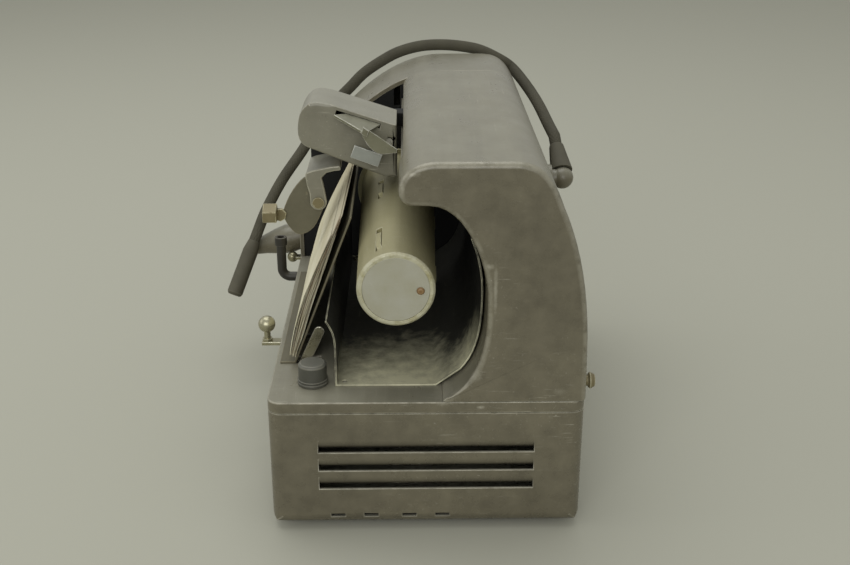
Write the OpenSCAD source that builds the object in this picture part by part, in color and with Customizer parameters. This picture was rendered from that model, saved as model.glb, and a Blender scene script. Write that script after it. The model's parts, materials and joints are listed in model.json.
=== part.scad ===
// Cylinder dictation machine: a cast hood over a sheet-steel base, a tapered
// mandrel for wax cylinders, and a carriage with a hinged recorder head.
// X runs from the operator's side (-X) to the back, Y from the loading end to
// the drive end, and Z up. Millimetres.

/* [Base] */
// Width of the base, from the operator's side to the back
base_w = 178; // [165:1:200]
// Length of the base, from the loading end to the drive end
base_l = 295; // [285:1:320]
// Height of the base shell
base_h = 73; // [70:0.5:80]
// Sheet thickness of the base shell
shell_t = 2; // [1.5:0.1:3]
// Radius of the base's rounded edges
body_r = 8; // [5:0.5:10]
// Height of the rubber feet
foot_h = 3; // [2:0.5:6]
// Radius of a rubber foot
foot_r = 8; // [6:0.5:10]
// Distance of the feet from the edges
foot_inset = 22; // [18:1:30]

/* [Louvres] */
// Number of louvres in each end
louvre_n = 3; // [2:1:4]
// Length of a louvre
louvre_l = 122; // [80:1:130]
// Height of a louvre's pressed strip
louvre_h = 8; // [5:0.5:9]
// Distance from one louvre to the next
louvre_step = 11.8; // [9:0.1:13]
// Height of the lowest slit above the base's underside
louvre_z = 24.5; // [20:0.5:30]
// Open slit under a louvre's strip
louvre_gap = 1.4; // [1:0.1:2.5]
// How far a louvre's strip is pressed in
louvre_in = 3.4; // [2:0.1:5]

/* [Deck] */
// Height of the band between the base and the deck's top
band_h = 7; // [6.5:0.5:10]
// Thickness of castings
cast_t = 3; // [2.5:0.1:4]

/* [Hood] */
// Height of the hood above the deck
hood_h = 137.5; // [134:0.5:150]
// Depth of the hood's overhanging lip
lip_h = 24; // [22:0.5:28]
// Reach of the lip past the mandrel's axis
lip_reach = 1.8; // [0:0.1:4]
// Distance from the mandrel's axis to the chamber's wall
chamber_r = 49.3; // [46:0.1:51]
// Length of the drive-end housing
end_l = 65; // [62:1:75]
// Thickness of the bearing plate
plate_t = 5; // [4:0.5:6]

/* [Mandrel] */
// Mandrel's axis from the middle of the base
mandrel_x = -16.2; // [-20:0.1:-12]
// Mandrel's axis above the deck
mandrel_rise = 67.5; // [65:0.5:72]
// Diameter of the mandrel's free end
mandrel_d0 = 42.4; // [40:0.1:44]
// Diameter of the mandrel's large end
mandrel_d1 = 48.6; // [46:0.1:50]
// Length of the mandrel
mandrel_l = 180; // [160:1:190]
// Wall of the mandrel
mandrel_t = 3; // [2:0.1:4]
// Outer diameter of the wax cylinder that it carries
cylinder_d = 57.2; // [55:0.1:58]
// Diameter of the mandrel's shaft
shaft_d = 10; // [8:0.5:12]
// Radial clearance of shafts in their bushes
run_gap = 0.05; // [0.02:0.01:0.1]

/* [Drive] */
// Module of the gears
gear_m = 1.5; // [1.5:0.5:1.5]
// Teeth of the mandrel gear and of the feed gear
gear_n = 24; // [22:2:26]
// Teeth of the idler gear
idler_n = 26; // [24:2:26]
// Width of the gears
gear_w = 6; // [4:0.5:8]
// Direction from the mandrel to the feed screw, in degrees
train_a = 36.6; // [35:0.1:38]
// Diameter of the feed screw
feed_d = 8; // [6:0.5:10]
// Radius of the mandrel's pulley
pulley_r = 25; // [22:0.5:28]
// Radius of the motor's pulley
motor_pulley_r = 7; // [6:0.5:9]
// Width of the belt
belt_w = 8; // [6:0.5:10]
// Thickness of the belt
belt_t = 1.6; // [1.2:0.1:2]
// Motor's axis from the middle of the base
motor_x = 20; // [10:1:30]
// Motor's axis above the base's underside
motor_rise = 35; // [33:0.5:38]
// Diameter of the motor
motor_d = 54; // [50:1:58]
// Length of the motor's case
motor_l = 85; // [70:1:95]
// Diameter of the motor's shaft
motor_shaft_d = 8; // [6:0.5:10]

/* [Carriage] */
// Where the recorder head's near face stands, from the loading end
head_y = 105; // [103:0.5:108]
// Length of the recorder head along the mandrel
head_l = 40; // [36:0.5:46]
// Tilt of the recorder head, in degrees
head_tilt = 22; // [20:0.5:24]
// Wall of the head's cover
head_t = 2; // [1.6:0.1:2.4]
// Diameter of the guide rod
rod_d = 8; // [7:0.5:9]
// Width of the carriage's arm
arm_w = 12; // [10:0.5:13]
// Thickness of the marker's plate
marker_t = 2; // [1.5:0.1:2.5]
// Diameter of the sound box
sound_d = 30; // [28:0.5:32]

/* [Chip tray] */
// Sheet thickness of the chip tray
tray_t = 1; // [0.8:0.1:1.5]
// Gap between the chip tray and the hood
tray_gap = 1.4; // [1.2:0.1:2]
// Distance of the chip tray from the loading end
tray_y = 20; // [16:0.5:24]

/* [Slip pad] */
// Thickness of the pad of paper slips
pad_t = 4; // [2:0.5:5]
// Length of the pad
pad_l = 150; // [130:1:155]
// Height of the pad's top above the deck
pad_h = 96; // [80:1:97]
// Where the pad starts, from the loading end
pad_y = 47; // [45:1:52]
// Distance of the pad's top edge from the hood's lip, to the left
pad_reach = 28.8; // [26:0.1:32]
// Thickness of the board behind the pad
board_t = 1.2; // [1:0.1:1.6]

/* [Controls] */
// Diameter of the deck knob
knob_d = 17.5; // [15:0.5:18]
// Height of the deck knob
knob_h = 13.5; // [10:0.5:16]
// Diameter of the near lever's ball
near_ball_d = 10.6; // [9:0.2:11]
// Diameter of the far lever's ball
far_ball_d = 8; // [7:0.2:8.4]
// Thickness of the ball levers
lever_t = 2.2; // [1.6:0.1:2.4]
// Width of the release lever
release_w = 6.4; // [5:0.2:7]
// Length of the release lever above the deck
release_l = 24; // [18:0.5:26]

/* [Speaking tube] */
// Diameter of the speaking tube
tube_d = 8.2; // [8:0.2:9.4]
// Length of the sleeve on the tube's end
sleeve_l = 43; // [30:1:50]
// Diameter of the sleeve
sleeve_d = 11.4; // [10.4:0.2:12]
// Bore of the sleeve's socket
socket_d = 6.4; // [5:0.2:7]
// Depth of the socket
socket_l = 14; // [10:1:20]
// Length of the tube's rest
rest_l = 38; // [30:1:40]
// Radius of the rest's root
rest_r = 11; // [9:0.5:12]
// Radius of the rest's tip
tip_r = 6; // [4:0.5:7]
// Diameter of the bent hook
hook_d = 7; // [5:0.5:7]
// Height of the bent hook
hook_h = 30; // [22:1:34]

/* [Hidden] */
$fn = 64;

paint = "#6b6658";
dark = "#35342f";
steel = "#9a9a94";
nickel = "#b9b6a6";
black = "#222220";

wall_x = base_w / 2;
floor_z = foot_h + shell_t;
seam_z = foot_h + base_h;
deck_z = seam_z + band_h;
top_z = deck_z + hood_h;
lip_z = top_z - lip_h;
bulk_y = base_l - end_l;
mandrel_z = deck_z + mandrel_rise;
lip_x = mandrel_x + lip_reach;
seat_gap = 0.3;
eps = 0.5;

// Feed train: mandrel gear, idler and feed gear stand in one line
gear_r = gear_m * gear_n / 2;
idler_r = gear_m * idler_n / 2;
train = [cos(train_a), sin(train_a)];
idler_at = [mandrel_x, mandrel_z] + (gear_r + idler_r) * train;
feed_at = [mandrel_x, mandrel_z] + 2 * (gear_r + idler_r) * train;
gear_y = bulk_y + plate_t + 5;
pulley_y = base_l - 31;
motor_z = foot_h + motor_rise;
motor_y = 130;

// The carriage's guide rod lies inside the hood's hollow lip
rod_at = [mandrel_x + 26.2, top_z - 12];
pin_at = [lip_x - 6.1, top_z - 17];
pin_d = 4;
travel_near = 98;

// Speaking tube's route, chosen by hand
route = [
    [90, 228, 182.5], [85.5, 258, 190.5], [79, 283, 198.5], [70, 300, 207.5],
    [60, 300, 214.5], [45, 300, 221.5], [30, 300, 224.5], [15, 300, 225.5],
    [0, 300, 224.5], [-15, 300, 220.5], [-27, 300, 214.5], [-42, 300, 204.5],
    [-53, 300, 193.5], [-63, 300, 183.5], [-77, 296, 167.5], [-89, 284, 149.5],
    [-104, 268, 130.5], [-115, 253, 112.5], [-120, 246, 101.5]];
elbow_at = [wall_x + 6, bulk_y - 49, top_z - 63];
boot_end = elbow_at + [-2.5, 19, 17];
boot_dir = (boot_end - elbow_at) / norm(boot_end - elbow_at);
boot_len = norm(boot_end - elbow_at);
sleeve_dir = [-19, -24.5, -46.5] / norm([-19, -24.5, -46.5]);
sleeve_at = route[len(route) - 1] + (tube_d + 4) * sleeve_dir;

rest_y = base_l - 45;
rest_z = deck_z + 10;
rest_drop = 14;
back_reach = elbow_at[0] + 7.5;
front_reach = wall_x + rest_l;
mid_x = (back_reach - front_reach) / 2;
mid_y = base_l / 2;

function unit(v) = v / norm(v);
function left(v) = [-v[1], v[0]];
// Points of a Bezier curve, without its last point
function bez(a, b, c, d, n) = [for (i = [0 : n - 1]) let (t = i / n, s = 1 - t)
    s * s * s * a + 3 * s * s * t * b + 3 * s * t * t * c + t * t * t * d];
// Points of an arc, both ends included
function arc(c, r, a0, a1, n) = [for (i = [0 : n]) let (a = a0 + (a1 - a0) * i / n)
    c + r * [cos(a), sin(a)]];
// A closed outline moved inwards by d
function inset(p, d) = [for (i = [0 : len(p) - 1]) let (
    n = len(p),
    a = left(unit(p[i] - p[(i + n - 1) % n])),
    b = left(unit(p[(i + 1) % n] - p[i])))
    p[i] + d * (a + b) / (1 + a * b)];
// An open line moved to its left by d
function shift(p, d) = [for (i = [0 : len(p) - 1]) let (
    n = len(p),
    a = left(unit(p[max(i, 1)] - p[max(i, 1) - 1])),
    b = left(unit(p[min(i, n - 2) + 1] - p[min(i, n - 2)])))
    p[i] + d * (a + b) / (1 + a * b)];
function reversed(p) = [for (i = [len(p) - 1 : -1 : 0]) p[i]];
// A strip of sheet metal along an open line, to its left
function strip(p, t) = concat(p, reversed(shift(p, t)));
function rounded(x0, y0, x1, y1, r) = concat(
    arc([x1 - r, y0 + r], r, -90, 0, 6), arc([x1 - r, y1 - r], r, 0, 90, 6),
    arc([x0 + r, y1 - r], r, 90, 180, 6), arc([x0 + r, y0 + r], r, 180, 270, 6));

// Outline of the hood's right side and top, from its foot to the top's middle
function back_side(zb) = concat(
    [[wall_x, zb], [wall_x - 0.2, deck_z + 18]],
    bez([wall_x - 0.4, deck_z + 27], [wall_x - 1, deck_z + 64], [wall_x - 7, deck_z + 91],
        [wall_x - 17, top_z - 24.5], 10),
    bez([wall_x - 17, top_z - 24.5], [wall_x - 23, top_z - 8], [wall_x - 29, top_z],
        [wall_x - 44, top_z], 12),
    [[wall_x - 44, top_z]]);
// The chamber's wall, from under the lip down to the deck
function chamber_side() = concat(
    bez([mandrel_x + 18.2, lip_z], [mandrel_x + 36.2, lip_z],
        [mandrel_x + chamber_r, mandrel_z + 15], [mandrel_x + chamber_r, mandrel_z - 8], 12),
    bez([mandrel_x + chamber_r, mandrel_z - 8], [mandrel_x + chamber_r + 0.6, mandrel_z - 36],
        [mandrel_x + chamber_r - 4, deck_z + 14], [toe_x + 5, deck_z + 3.5], 12));
toe_x = mandrel_x + 25.5;
// Closed outline of the hood, with its foot at zb
function hood_outline(zb) = concat(
    back_side(zb),
    bez([lip_x + 20.4, top_z], [lip_x + 9.4, top_z], [lip_x + 0.4, top_z - 5.5],
        [lip_x, top_z - 15.5], 10),
    bez([lip_x, top_z - 15.5], [lip_x - 0.3, lip_z + 3.5], [lip_x + 2.9, lip_z],
        [lip_x + 8.4, lip_z], 5),
    chamber_side(),
    [[toe_x + 5, deck_z + 3.5], [toe_x + 1.6, deck_z + 2.2], [toe_x, deck_z + 0.6], [toe_x, zb]]);
// Closed outline of the drive-end housing, with its foot at zb
function end_outline(zb) = concat(
    back_side(zb),
    bez([15, top_z], [-35, top_z], [-wall_x, deck_z + 72.5], [-wall_x, deck_z + 27.5], 24),
    [[-wall_x, deck_z + 27.5], [-wall_x, zb]]);

module in_frame() {
    translate([-mid_x, -mid_y, 0])
        children();
}
// A prism whose outline is given in X and Z
module prism_y(p, y0, y1) {
    translate([0, y1, 0])
        rotate([90, 0, 0])
            linear_extrude(y1 - y0)
                polygon(p);
}
module rod_y(at, r, y0, y1) {
    translate([at[0], y0, at[1]])
        rotate([-90, 0, 0])
            cylinder(r = r, h = y1 - y0);
}
module cone_y(at, r0, r1, y0, y1) {
    translate([at[0], y0, at[1]])
        rotate([-90, 0, 0])
            cylinder(r1 = r0, r2 = r1, h = y1 - y0);
}
module box(a, b) {
    translate(a)
        cube(b - a);
}
module peg(x, y, z0, z1, r) {
    translate([x, y, z0])
        cylinder(r = r, h = z1 - z0);
}
// A round solid along the line from a, towards direction d
module lined(a, d) {
    translate(a)
        rotate([0, acos(d[2] / norm(d)), atan2(d[1], d[0])])
            children();
}

// Base

// A box with rounded upright edges and rounded lower edges
module pan(g, z1) {
    r = body_r - g / 2;
    intersection() {
        translate([0, 0, foot_h + g])
            linear_extrude(z1 - foot_h - g)
                polygon(rounded(-wall_x + g, g, wall_x - g, base_l - g, r));
        prism_y(rounded(-wall_x + g, foot_h + g, wall_x - g, z1 + 2 * r, r), 0, base_l);
        translate([-wall_x, 0, 0])
            rotate([90, 0, 90])
                linear_extrude(base_w)
                    polygon(rounded(g, foot_h + g, base_l - g, z1 + 2 * r, r));
    }
}
function foot_places() = [for (x = [-1, 1], y = [0, 1])
    [x * (wall_x - foot_inset), foot_inset + y * (base_l - 2 * foot_inset)]];
foot_hole_r = 1.8;
vent_w = 8;
vent_x = -20.7;
vent_gap = 22;
vent_step = 19.1;
inlet_at = [base_l - 60, foot_h + 35];
inlet_r = 9;
inlet_depth = 14;
module rod_x(at, r, x0, x1) {
    translate([x0, at[0], at[1]])
        rotate([0, 90, 0])
            cylinder(r = r, h = x1 - x0);
}
module base_shell() {
    color(paint)
        in_frame() {
            difference() {
                pan(0, seam_z);
                pan(shell_t, seam_z + 1);
                for (i = [0 : louvre_n - 1])
                    for (y = [-1, base_l - shell_t - 1])
                        box([-louvre_l / 2, y, slit_z(i)],
                            [louvre_l / 2, y + shell_t + 2, slit_z(i) + louvre_h]);
                for (x = vent_places())
                    box([x - vent_w / 2, -1, foot_h + 5.5], [x + vent_w / 2, shell_t + 1, foot_h + 8]);
                for (p = foot_places())
                    peg(p[0], p[1], 0, floor_z + 1, foot_hole_r);
                rod_x(inlet_at, inlet_r, wall_x - shell_t - 2, wall_x + 2);
            }
            for (i = [0 : louvre_n - 1])
                for (side = [0, 1])
                    louvre(i, side);
        }
}
// Two pairs of small vents, low in the near end
function vent_places() = [for (s = [-1, 1], d = [vent_gap / 2, vent_gap / 2 + vent_step])
    vent_x + s * d];
function slit_z(i) = foot_h + louvre_z + i * louvre_step;
// A louvre is a strip of the wall that is pressed in, closed at both ends
function strip_line() = concat(
    bez([0, louvre_h], [0.1, louvre_h * 0.6], [louvre_in * 0.5, louvre_h * 0.36],
        [louvre_in, louvre_gap], 6), [[louvre_in, louvre_gap]]);
module louvre(i, side) {
    line = strip_line();
    inward = 1 - 2 * side;
    strip = concat([[shell_t * 0.7, louvre_h + 1], [shell_t * 0.3, louvre_h + 1]], line,
        reversed([for (p = line) p + [shell_t, 0]]));
    end_wall = concat([[shell_t / 2, louvre_h]], [for (i = [2 : 6]) line[i] + [shell_t / 2, 0]],
        [[shell_t / 2, louvre_gap]]);
    translate([0, side * base_l, slit_z(i)]) {
        along_x(-louvre_l / 2 - shell_t, louvre_l / 2 + shell_t)
            polygon([for (p = strip) [p[0] * inward, p[1]]]);
        for (x = [-louvre_l / 2 - shell_t, louvre_l / 2])
            along_x(x, x + shell_t)
                polygon([for (p = end_wall) [p[0] * inward, p[1]]]);
    }
}
module along_x(x0, x1) {
    translate([x0, 0, 0])
        rotate([90, 0, 90])
            linear_extrude(x1 - x0)
                children();
}
module rubber_feet() {
    color(black)
        in_frame()
            for (p = foot_places()) {
                peg(p[0], p[1], 0, foot_h, foot_r);
                peg(p[0], p[1], foot_h - eps, floor_z + eps, foot_hole_r - run_gap);
                peg(p[0], p[1], floor_z, floor_z + 1.5, foot_hole_r + 1.5);
            }
}

// Deck

knob_at = [-wall_x + 24.4, tray_y + 4.5];
knob_shaft_r = 3;
near_lever_at = [-wall_x + 17, 90];
far_lever_at = [-wall_x + 15, base_l - 55];
lever_pin_r = 2;
release_at = [-wall_x + 14.5, 56];
lever_top = deck_z - cast_t - seat_gap;
tray_left = wall_x - 37.4;
tray_hole_at = [-tray_left + 5.2, tray_y + 4.8];
tray_hole_r = 1.6;
release_half = (release_w + 3) / 2;
module deck_casting() {
    color(paint)
        in_frame()
            difference() {
                translate([0, 0, seam_z])
                    linear_extrude(band_h)
                        polygon(rounded(-wall_x, 0, wall_x, base_l, body_r));
                translate([0, 0, seam_z - 1])
                    linear_extrude(band_h + 1 - cast_t)
                        polygon(rounded(-wall_x + cast_t, cast_t, wall_x - cast_t,
                            base_l - cast_t, body_r - cast_t / 2));
                box([mandrel_x - 40, pulley_y - 5, seam_z], [mandrel_x + 75, base_l - 8, top_z]);
                peg(knob_at[0], knob_at[1], seam_z, top_z, knob_shaft_r + run_gap);
                for (p = [near_lever_at, far_lever_at]) {
                    peg(p[0], p[1], seam_z, top_z, lever_pin_r + run_gap);
                    box([-wall_x - 1, p[1] - 10, lever_top - lever_t - 0.6],
                        [-wall_x + cast_t + 1, p[1] + 10, deck_z - cast_t]);
                }
                box([release_at[0] - 5, release_at[1] - release_half, seam_z],
                    [release_at[0] + 12, release_at[1] + release_half, top_z]);
                for (p = tray_screw_places())
                    peg(p[0], p[1], seam_z, top_z, tray_hole_r);
                hook_stud(run_gap);
            }
}
function tray_screw_places() = [tray_hole_at, [tray_hole_at[0], bulk_y - 10],
    [0, bulk_y - 10]];
function screw_places() = [for (x = [-1, 1], y = [0.12, 0.5, 0.88])
    [x * wall_x, y * base_l]];
module base_screws() {
    color(steel)
        in_frame()
            for (p = screw_places()) {
                s = sign(p[0]);
                translate([p[0], p[1], seam_z - 12])
                    rotate([0, s * 90, 0])
                        cylinder(r = 3, h = 1.2);
            }
}

// Hood and drive-end housing

arm_z0 = top_z - 18.5;
arm_z1 = top_z - 9.5;
slot_gap = 0.8;
thumb_at = [12, deck_z + 7];
thumb_r = 2;
module hood_cover() {
    color(paint)
        in_frame()
            difference() {
                prism_y(hood_outline(deck_z), 0, bulk_y);
                prism_y(inset(hood_outline(deck_z - 10), cast_t), cast_t, bulk_y + 1);
                box([lip_x - 2, arm_y - travel_near - 3, arm_z0 - slot_gap],
                    [lip_x + cast_t + 4, bulk_y + 1, arm_z1 + slot_gap]);
                translate([wall_x - 10, thumb_at[0], thumb_at[1]])
                    rotate([0, 90, 0])
                        cylinder(r = thumb_r + run_gap, h = 20);
                elbow_neck(run_gap);
            }
}
module end_housing() {
    color(paint)
        in_frame()
            difference() {
                prism_y(end_outline(deck_z), bulk_y, base_l);
                prism_y(inset(end_outline(deck_z - 10), cast_t), bulk_y - 1, base_l - cast_t);
                rest_stud(run_gap);
            }
}
plate_y = bulk_y + 1;
bush_r = shaft_d / 2 + 4;
feed_bush_r = feed_d / 2 + 2.5;
idler_stud_r = 4;
module bearing_plate() {
    g = cast_t + 0.2;
    color(dark)
        in_frame()
            difference() {
                prism_y(inset(end_outline(deck_z - g), g), plate_y, plate_y + plate_t);
                rod_y([mandrel_x, mandrel_z], bush_r, plate_y - 1, plate_y + plate_t + 1);
                rod_y(feed_at, feed_bush_r, plate_y - 1, plate_y + plate_t + 1);
                rod_y(idler_at, idler_stud_r, plate_y - 1, plate_y + plate_t + 1);
                rod_y(rod_at, rod_d / 2, plate_y - 1, plate_y + plate_t + 1);
                box([lip_x - 4.6, plate_y - 1, top_z - 25],
                    [lip_x - 0.2, plate_y + plate_t + 1, top_z - 8]);
            }
}
// A bracket inside the hood's loading end holds the rod and the screw
module near_plate() {
    color(dark)
        in_frame()
            difference() {
                prism_y([
                    [rod_at[0] - rod_d, top_z - cast_t - 1.5], [rod_at[0] - rod_d, rod_at[1] - 7],
                    [rod_at[0] + rod_d, rod_at[1] - 7], [feed_at[0] - 9, feed_at[1] - 9],
                    [feed_at[0] + 9, feed_at[1] - 9], [feed_at[0] + 9, feed_at[1] + 9],
                    [feed_at[0] - 1, top_z - cast_t - 1.5]], cast_t, cast_t + 7);
                rod_y(feed_at, feed_bush_r, cast_t - 1, cast_t + 8);
                rod_y(rod_at, rod_d / 2, cast_t - 1, cast_t + 8);
            }
}

// Chip tray and slip pad

// The tray's line runs down the chamber's right wall, along the deck and up the left
function tray_line() = concat(
    [for (p = shift(chamber_side(), -tray_gap))
        if (p[1] < mandrel_z + 22 && p[1] > deck_z + 7.5) p],
    [[toe_x - 3.5, deck_z], [-tray_left, deck_z], [-tray_left, deck_z + 24]],
    bez([-tray_left, deck_z + 25], [-tray_left, deck_z + 34],
        [-tray_left - 3, deck_z + 37], [-tray_left - 7, deck_z + 44], 5));
module chip_tray() {
    color(dark)
        in_frame()
            difference() {
                prism_y(strip(tray_line(), -tray_t), tray_y, bulk_y - 3);
                for (p = tray_screw_places())
                    peg(p[0], p[1], deck_z - 1, deck_z + tray_t + 1, tray_hole_r);
            }
}
module tray_screws() {
    color(steel)
        in_frame()
            for (i = [1, 2]) {
                p = tray_screw_places()[i];
                peg(p[0], p[1], deck_z - cast_t - 3, deck_z + tray_t + eps, tray_hole_r - run_gap);
                peg(p[0], p[1], deck_z + tray_t, deck_z + tray_t + 1.6, 3);
            }
}
pad_foot = [-wall_x + 8.5, deck_z];
board_y = pad_y + 3;
board_l = pad_l - 4;
pad_lean = atan2(lip_x - pad_reach - pad_foot[0], pad_h);
pad_dir = [sin(pad_lean), cos(pad_lean)];
// Strips beside the pad's middle line, from s0 to s1 along it
function leaning(off0, off1, s0, s1) = let (n = [pad_dir[1], -pad_dir[0]]) [
    pad_foot + off0 * n + s0 * pad_dir, pad_foot + off1 * n + s0 * pad_dir,
    pad_foot + off1 * n + s1 * pad_dir, pad_foot + off0 * n + s1 * pad_dir];
board_off = pad_t / 2 + seat_gap;
module slip_board() {
    color(dark)
        in_frame() {
            difference() {
                prism_y(leaning(board_off, board_off + board_t, -5, pad_h / cos(pad_lean) - 4),
                    board_y, board_y + board_l);
                box([-wall_x, board_y - 1, deck_z - 10],
                    [0, board_y + board_l + 1, deck_z]);
            }
            box([-wall_x + 3, board_y, deck_z],
                [pad_foot[0] + board_off + 1, board_y + board_l, deck_z + board_t]);
        }
}
module slip_pad() {
    color("#d8cfae")
        in_frame()
            prism_y(leaning(-pad_t / 2, pad_t / 2, 2.4 + board_t, pad_h / cos(pad_lean)),
                pad_y, pad_y + pad_l);
}

// Mandrel and its drive

mandrel_at = [mandrel_x, mandrel_z];
cap_t = 3;
rib_n = 3;
rib_w = 3;
rib_l = 33;
rib_places = [10, 97];
rib_seat = mandrel_d0 / 2 - mandrel_t - 2.6;
module mandrel_drum() {
    color(nickel)
        in_frame()
            difference() {
                union() {
                    cone_y(mandrel_at, mandrel_d0 / 2 - 1.2, mandrel_d0 / 2, 0, 1.2);
                    cone_y(mandrel_at, mandrel_d0 / 2, mandrel_d1 / 2, 1.2, mandrel_l);
                    rod_y(mandrel_at, mandrel_d1 / 2 + 3, mandrel_l, mandrel_l + 3);
                }
                rod_y(mandrel_at, mandrel_d0 / 2 - mandrel_t, -1, mandrel_l - 6);
                rod_y(mandrel_at, shaft_d / 2 + 0.02, mandrel_l - 8, mandrel_l + 4);
                for (i = [0 : rib_n - 1])
                    rib_slot(i, 0.25);
            }
}
// Springs that grip the wax cylinder lie in slots along the drum
module rib_slot(i, g) {
    translate([mandrel_x, 0, mandrel_z])
        rotate([0, -26 - i * 360 / rib_n, 0])
            for (y = rib_places)
                box([-rib_w / 2 - g, y - g, mandrel_d0 / 2 - mandrel_t - 1],
                    [rib_w / 2 + g, y + rib_l + g, mandrel_d1 / 2 + 2]);
}
module rib_springs() {
    color(steel)
        in_frame()
            translate([mandrel_x, 0, mandrel_z])
                for (i = [0 : rib_n - 1])
                    rotate([0, -26 - i * 360 / rib_n, 0])
                        for (y = rib_places)
                            translate([-rib_w / 2, y, rib_seat])
                                rotate([90, 0, 90])
                                    linear_extrude(rib_w)
                                        polygon(rib_outline(rib_crown + y * taper()));
}
// Side view of a spring: flat feet inside the drum, and a crown that stands proud
rib_crown = mandrel_t + 2.6 + 0.45;
function rib_outline(h) = [[-6, 0], [rib_l + 6, 0], [rib_l + 6, 2.2], [rib_l, 2.2],
    [rib_l - 8, h + (rib_l - 8) * taper()], [8, h + 8 * taper()], [0, 2.2], [-6, 2.2]];
function taper() = (mandrel_d1 - mandrel_d0) / 2 / mandrel_l;
module mandrel_cap() {
    color("#c9c7bc")
        in_frame()
            difference() {
                rod_y(mandrel_at, mandrel_d0 / 2 - mandrel_t - 0.02, 0.4, cap_t + 0.4);
                rod_y(mandrel_at + [13.2, -0.8], 2.2, -1, cap_t + 2);
                rod_y(mandrel_at, shaft_d / 2 + 0.02, 2, cap_t + 2);
            }
}
module mandrel_pin() {
    color("#6d4a2c")
        in_frame() {
            rod_y(mandrel_at + [13.2, -0.8], 2.2 - 0.02, 0, cap_t + 2);
            cone_y(mandrel_at + [13.2, -0.8], 1.4, 2.2 - 0.02, -0.6, 0.2);
        }
}
shaft_end = base_l - cast_t - 1;
module mandrel_shaft() {
    color(steel)
        in_frame()
            rod_y(mandrel_at, shaft_d / 2, 2.2, shaft_end);
}
module mandrel_bushes() {
    color("#a5854a")
        in_frame() {
            difference() {
                union() {
                    rod_y(mandrel_at, bush_r - 0.02, plate_y - 6, plate_y + plate_t + 2);
                    rod_y(mandrel_at, bush_r + 3, plate_y - 2, plate_y);
                }
                rod_y(mandrel_at, shaft_d / 2 + run_gap, plate_y - 8, plate_y + plate_t + 4);
            }
            difference() {
                union() {
                    rod_y(mandrel_at, bush_r, base_l - cast_t - 10, base_l - cast_t);
                    rod_y(mandrel_at, bush_r + 5, base_l - cast_t - 3, base_l - cast_t);
                }
                rod_y(mandrel_at, shaft_d / 2 + run_gap, base_l - cast_t - 12, base_l - cast_t - 0.5);
            }
        }
}
// Corners of a tooth: their place along the pitch, and their height in modules
tooth = [[-0.29, -1.15], [-0.13, 0.9], [0.13, 0.9], [0.29, -1.15]];
// Spur gear with straight flanks; turn is the angle of its first tooth
module gear(n, turn, bore) {
    r = gear_m * n / 2;
    step = 360 / n;
    difference() {
        linear_extrude(gear_w)
            polygon([for (i = [0 : n - 1], k = tooth) let (a = turn + (i + k[0]) * step)
                (r + k[1] * gear_m) * [cos(a), sin(a)]]);
        translate([0, 0, -1])
            cylinder(r = bore, h = gear_w + 2);
    }
}
module gear_at(at, n, turn, bore) {
    translate([at[0], gear_y + gear_w, at[1]])
        rotate([90, 0, 0])
            gear(n, turn, bore);
}
module mandrel_gear() {
    color("#a5854a")
        in_frame()
            gear_at(mandrel_at, gear_n, train_a, shaft_d / 2 + 0.02);
}
module idler_gear() {
    color("#a5854a")
        in_frame()
            gear_at(idler_at, idler_n, train_a + 180 + 180 / idler_n, idler_stud_r + run_gap);
}
// An idler with an even number of teeth has a gap there for the feed gear's tooth
feed_turn = train_a + 180 + 180 / gear_n * (idler_n % 2);
module feed_gear() {
    color("#a5854a")
        in_frame()
            gear_at(feed_at, gear_n, feed_turn, feed_d / 2 + 0.02);
}
module idler_stud() {
    color(steel)
        in_frame()
            union() {
                rod_y(idler_at, idler_stud_r - 0.02, plate_y, gear_y + gear_w + seat_gap);
                rod_y(idler_at, idler_stud_r + 2, plate_y + plate_t, gear_y - seat_gap);
                rod_y(idler_at, idler_stud_r + 2, gear_y + gear_w + seat_gap, gear_y + gear_w + 2);
            }
}
module feed_screw() {
    color(steel)
        in_frame()
            rod_y(feed_at, feed_d / 2, cast_t + seat_gap, gear_y + gear_w + 3);
}
module feed_bushes() {
    color("#a5854a")
        in_frame()
            for (y = [[cast_t, cast_t + 8.5], [plate_y - 1.5, plate_y + plate_t + 2]])
                difference() {
                    rod_y(feed_at, feed_bush_r - 0.02, y[0], y[1]);
                    rod_y(feed_at, feed_d / 2 + run_gap, y[0] - 1, y[1] + 1);
                }
}
module guide_rod() {
    color(steel)
        in_frame()
            rod_y(rod_at, rod_d / 2 - 0.02, cast_t, plate_y + plate_t + 3);
}
module pulley(at, r, hub, bore) {
    difference() {
        union() {
            rod_y(at, r, pulley_y, pulley_y + belt_w + 2);
            rod_y(at, r + 1.6, pulley_y - 1.5, pulley_y);
            rod_y(at, r + 1.6, pulley_y + belt_w + 2, pulley_y + belt_w + 3.5);
            rod_y(at, hub, pulley_y - 5, pulley_y);
        }
        rod_y(at, bore, pulley_y - 6, pulley_y + belt_w + 5);
    }
}
module mandrel_pulley() {
    color(dark)
        in_frame()
            pulley(mandrel_at, pulley_r, shaft_d / 2 + 4, shaft_d / 2 + 0.02);
}
motor_at = [motor_x, motor_z];
module motor_pulley() {
    color(steel)
        in_frame()
            pulley(motor_at, motor_pulley_r, motor_shaft_d / 2 + 2, motor_shaft_d / 2 + 0.02);
}
module belt_loop(g, y0, y1) {
    hull() {
        rod_y(mandrel_at, pulley_r + g, y0, y1);
        rod_y(motor_at, motor_pulley_r + g, y0, y1);
    }
}
module drive_belt() {
    color(black)
        in_frame()
            difference() {
                belt_loop(seat_gap + belt_t, pulley_y + 1, pulley_y + 1 + belt_w);
                belt_loop(seat_gap, pulley_y, pulley_y + 2 + belt_w);
            }
}

// Motor and governor

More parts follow.
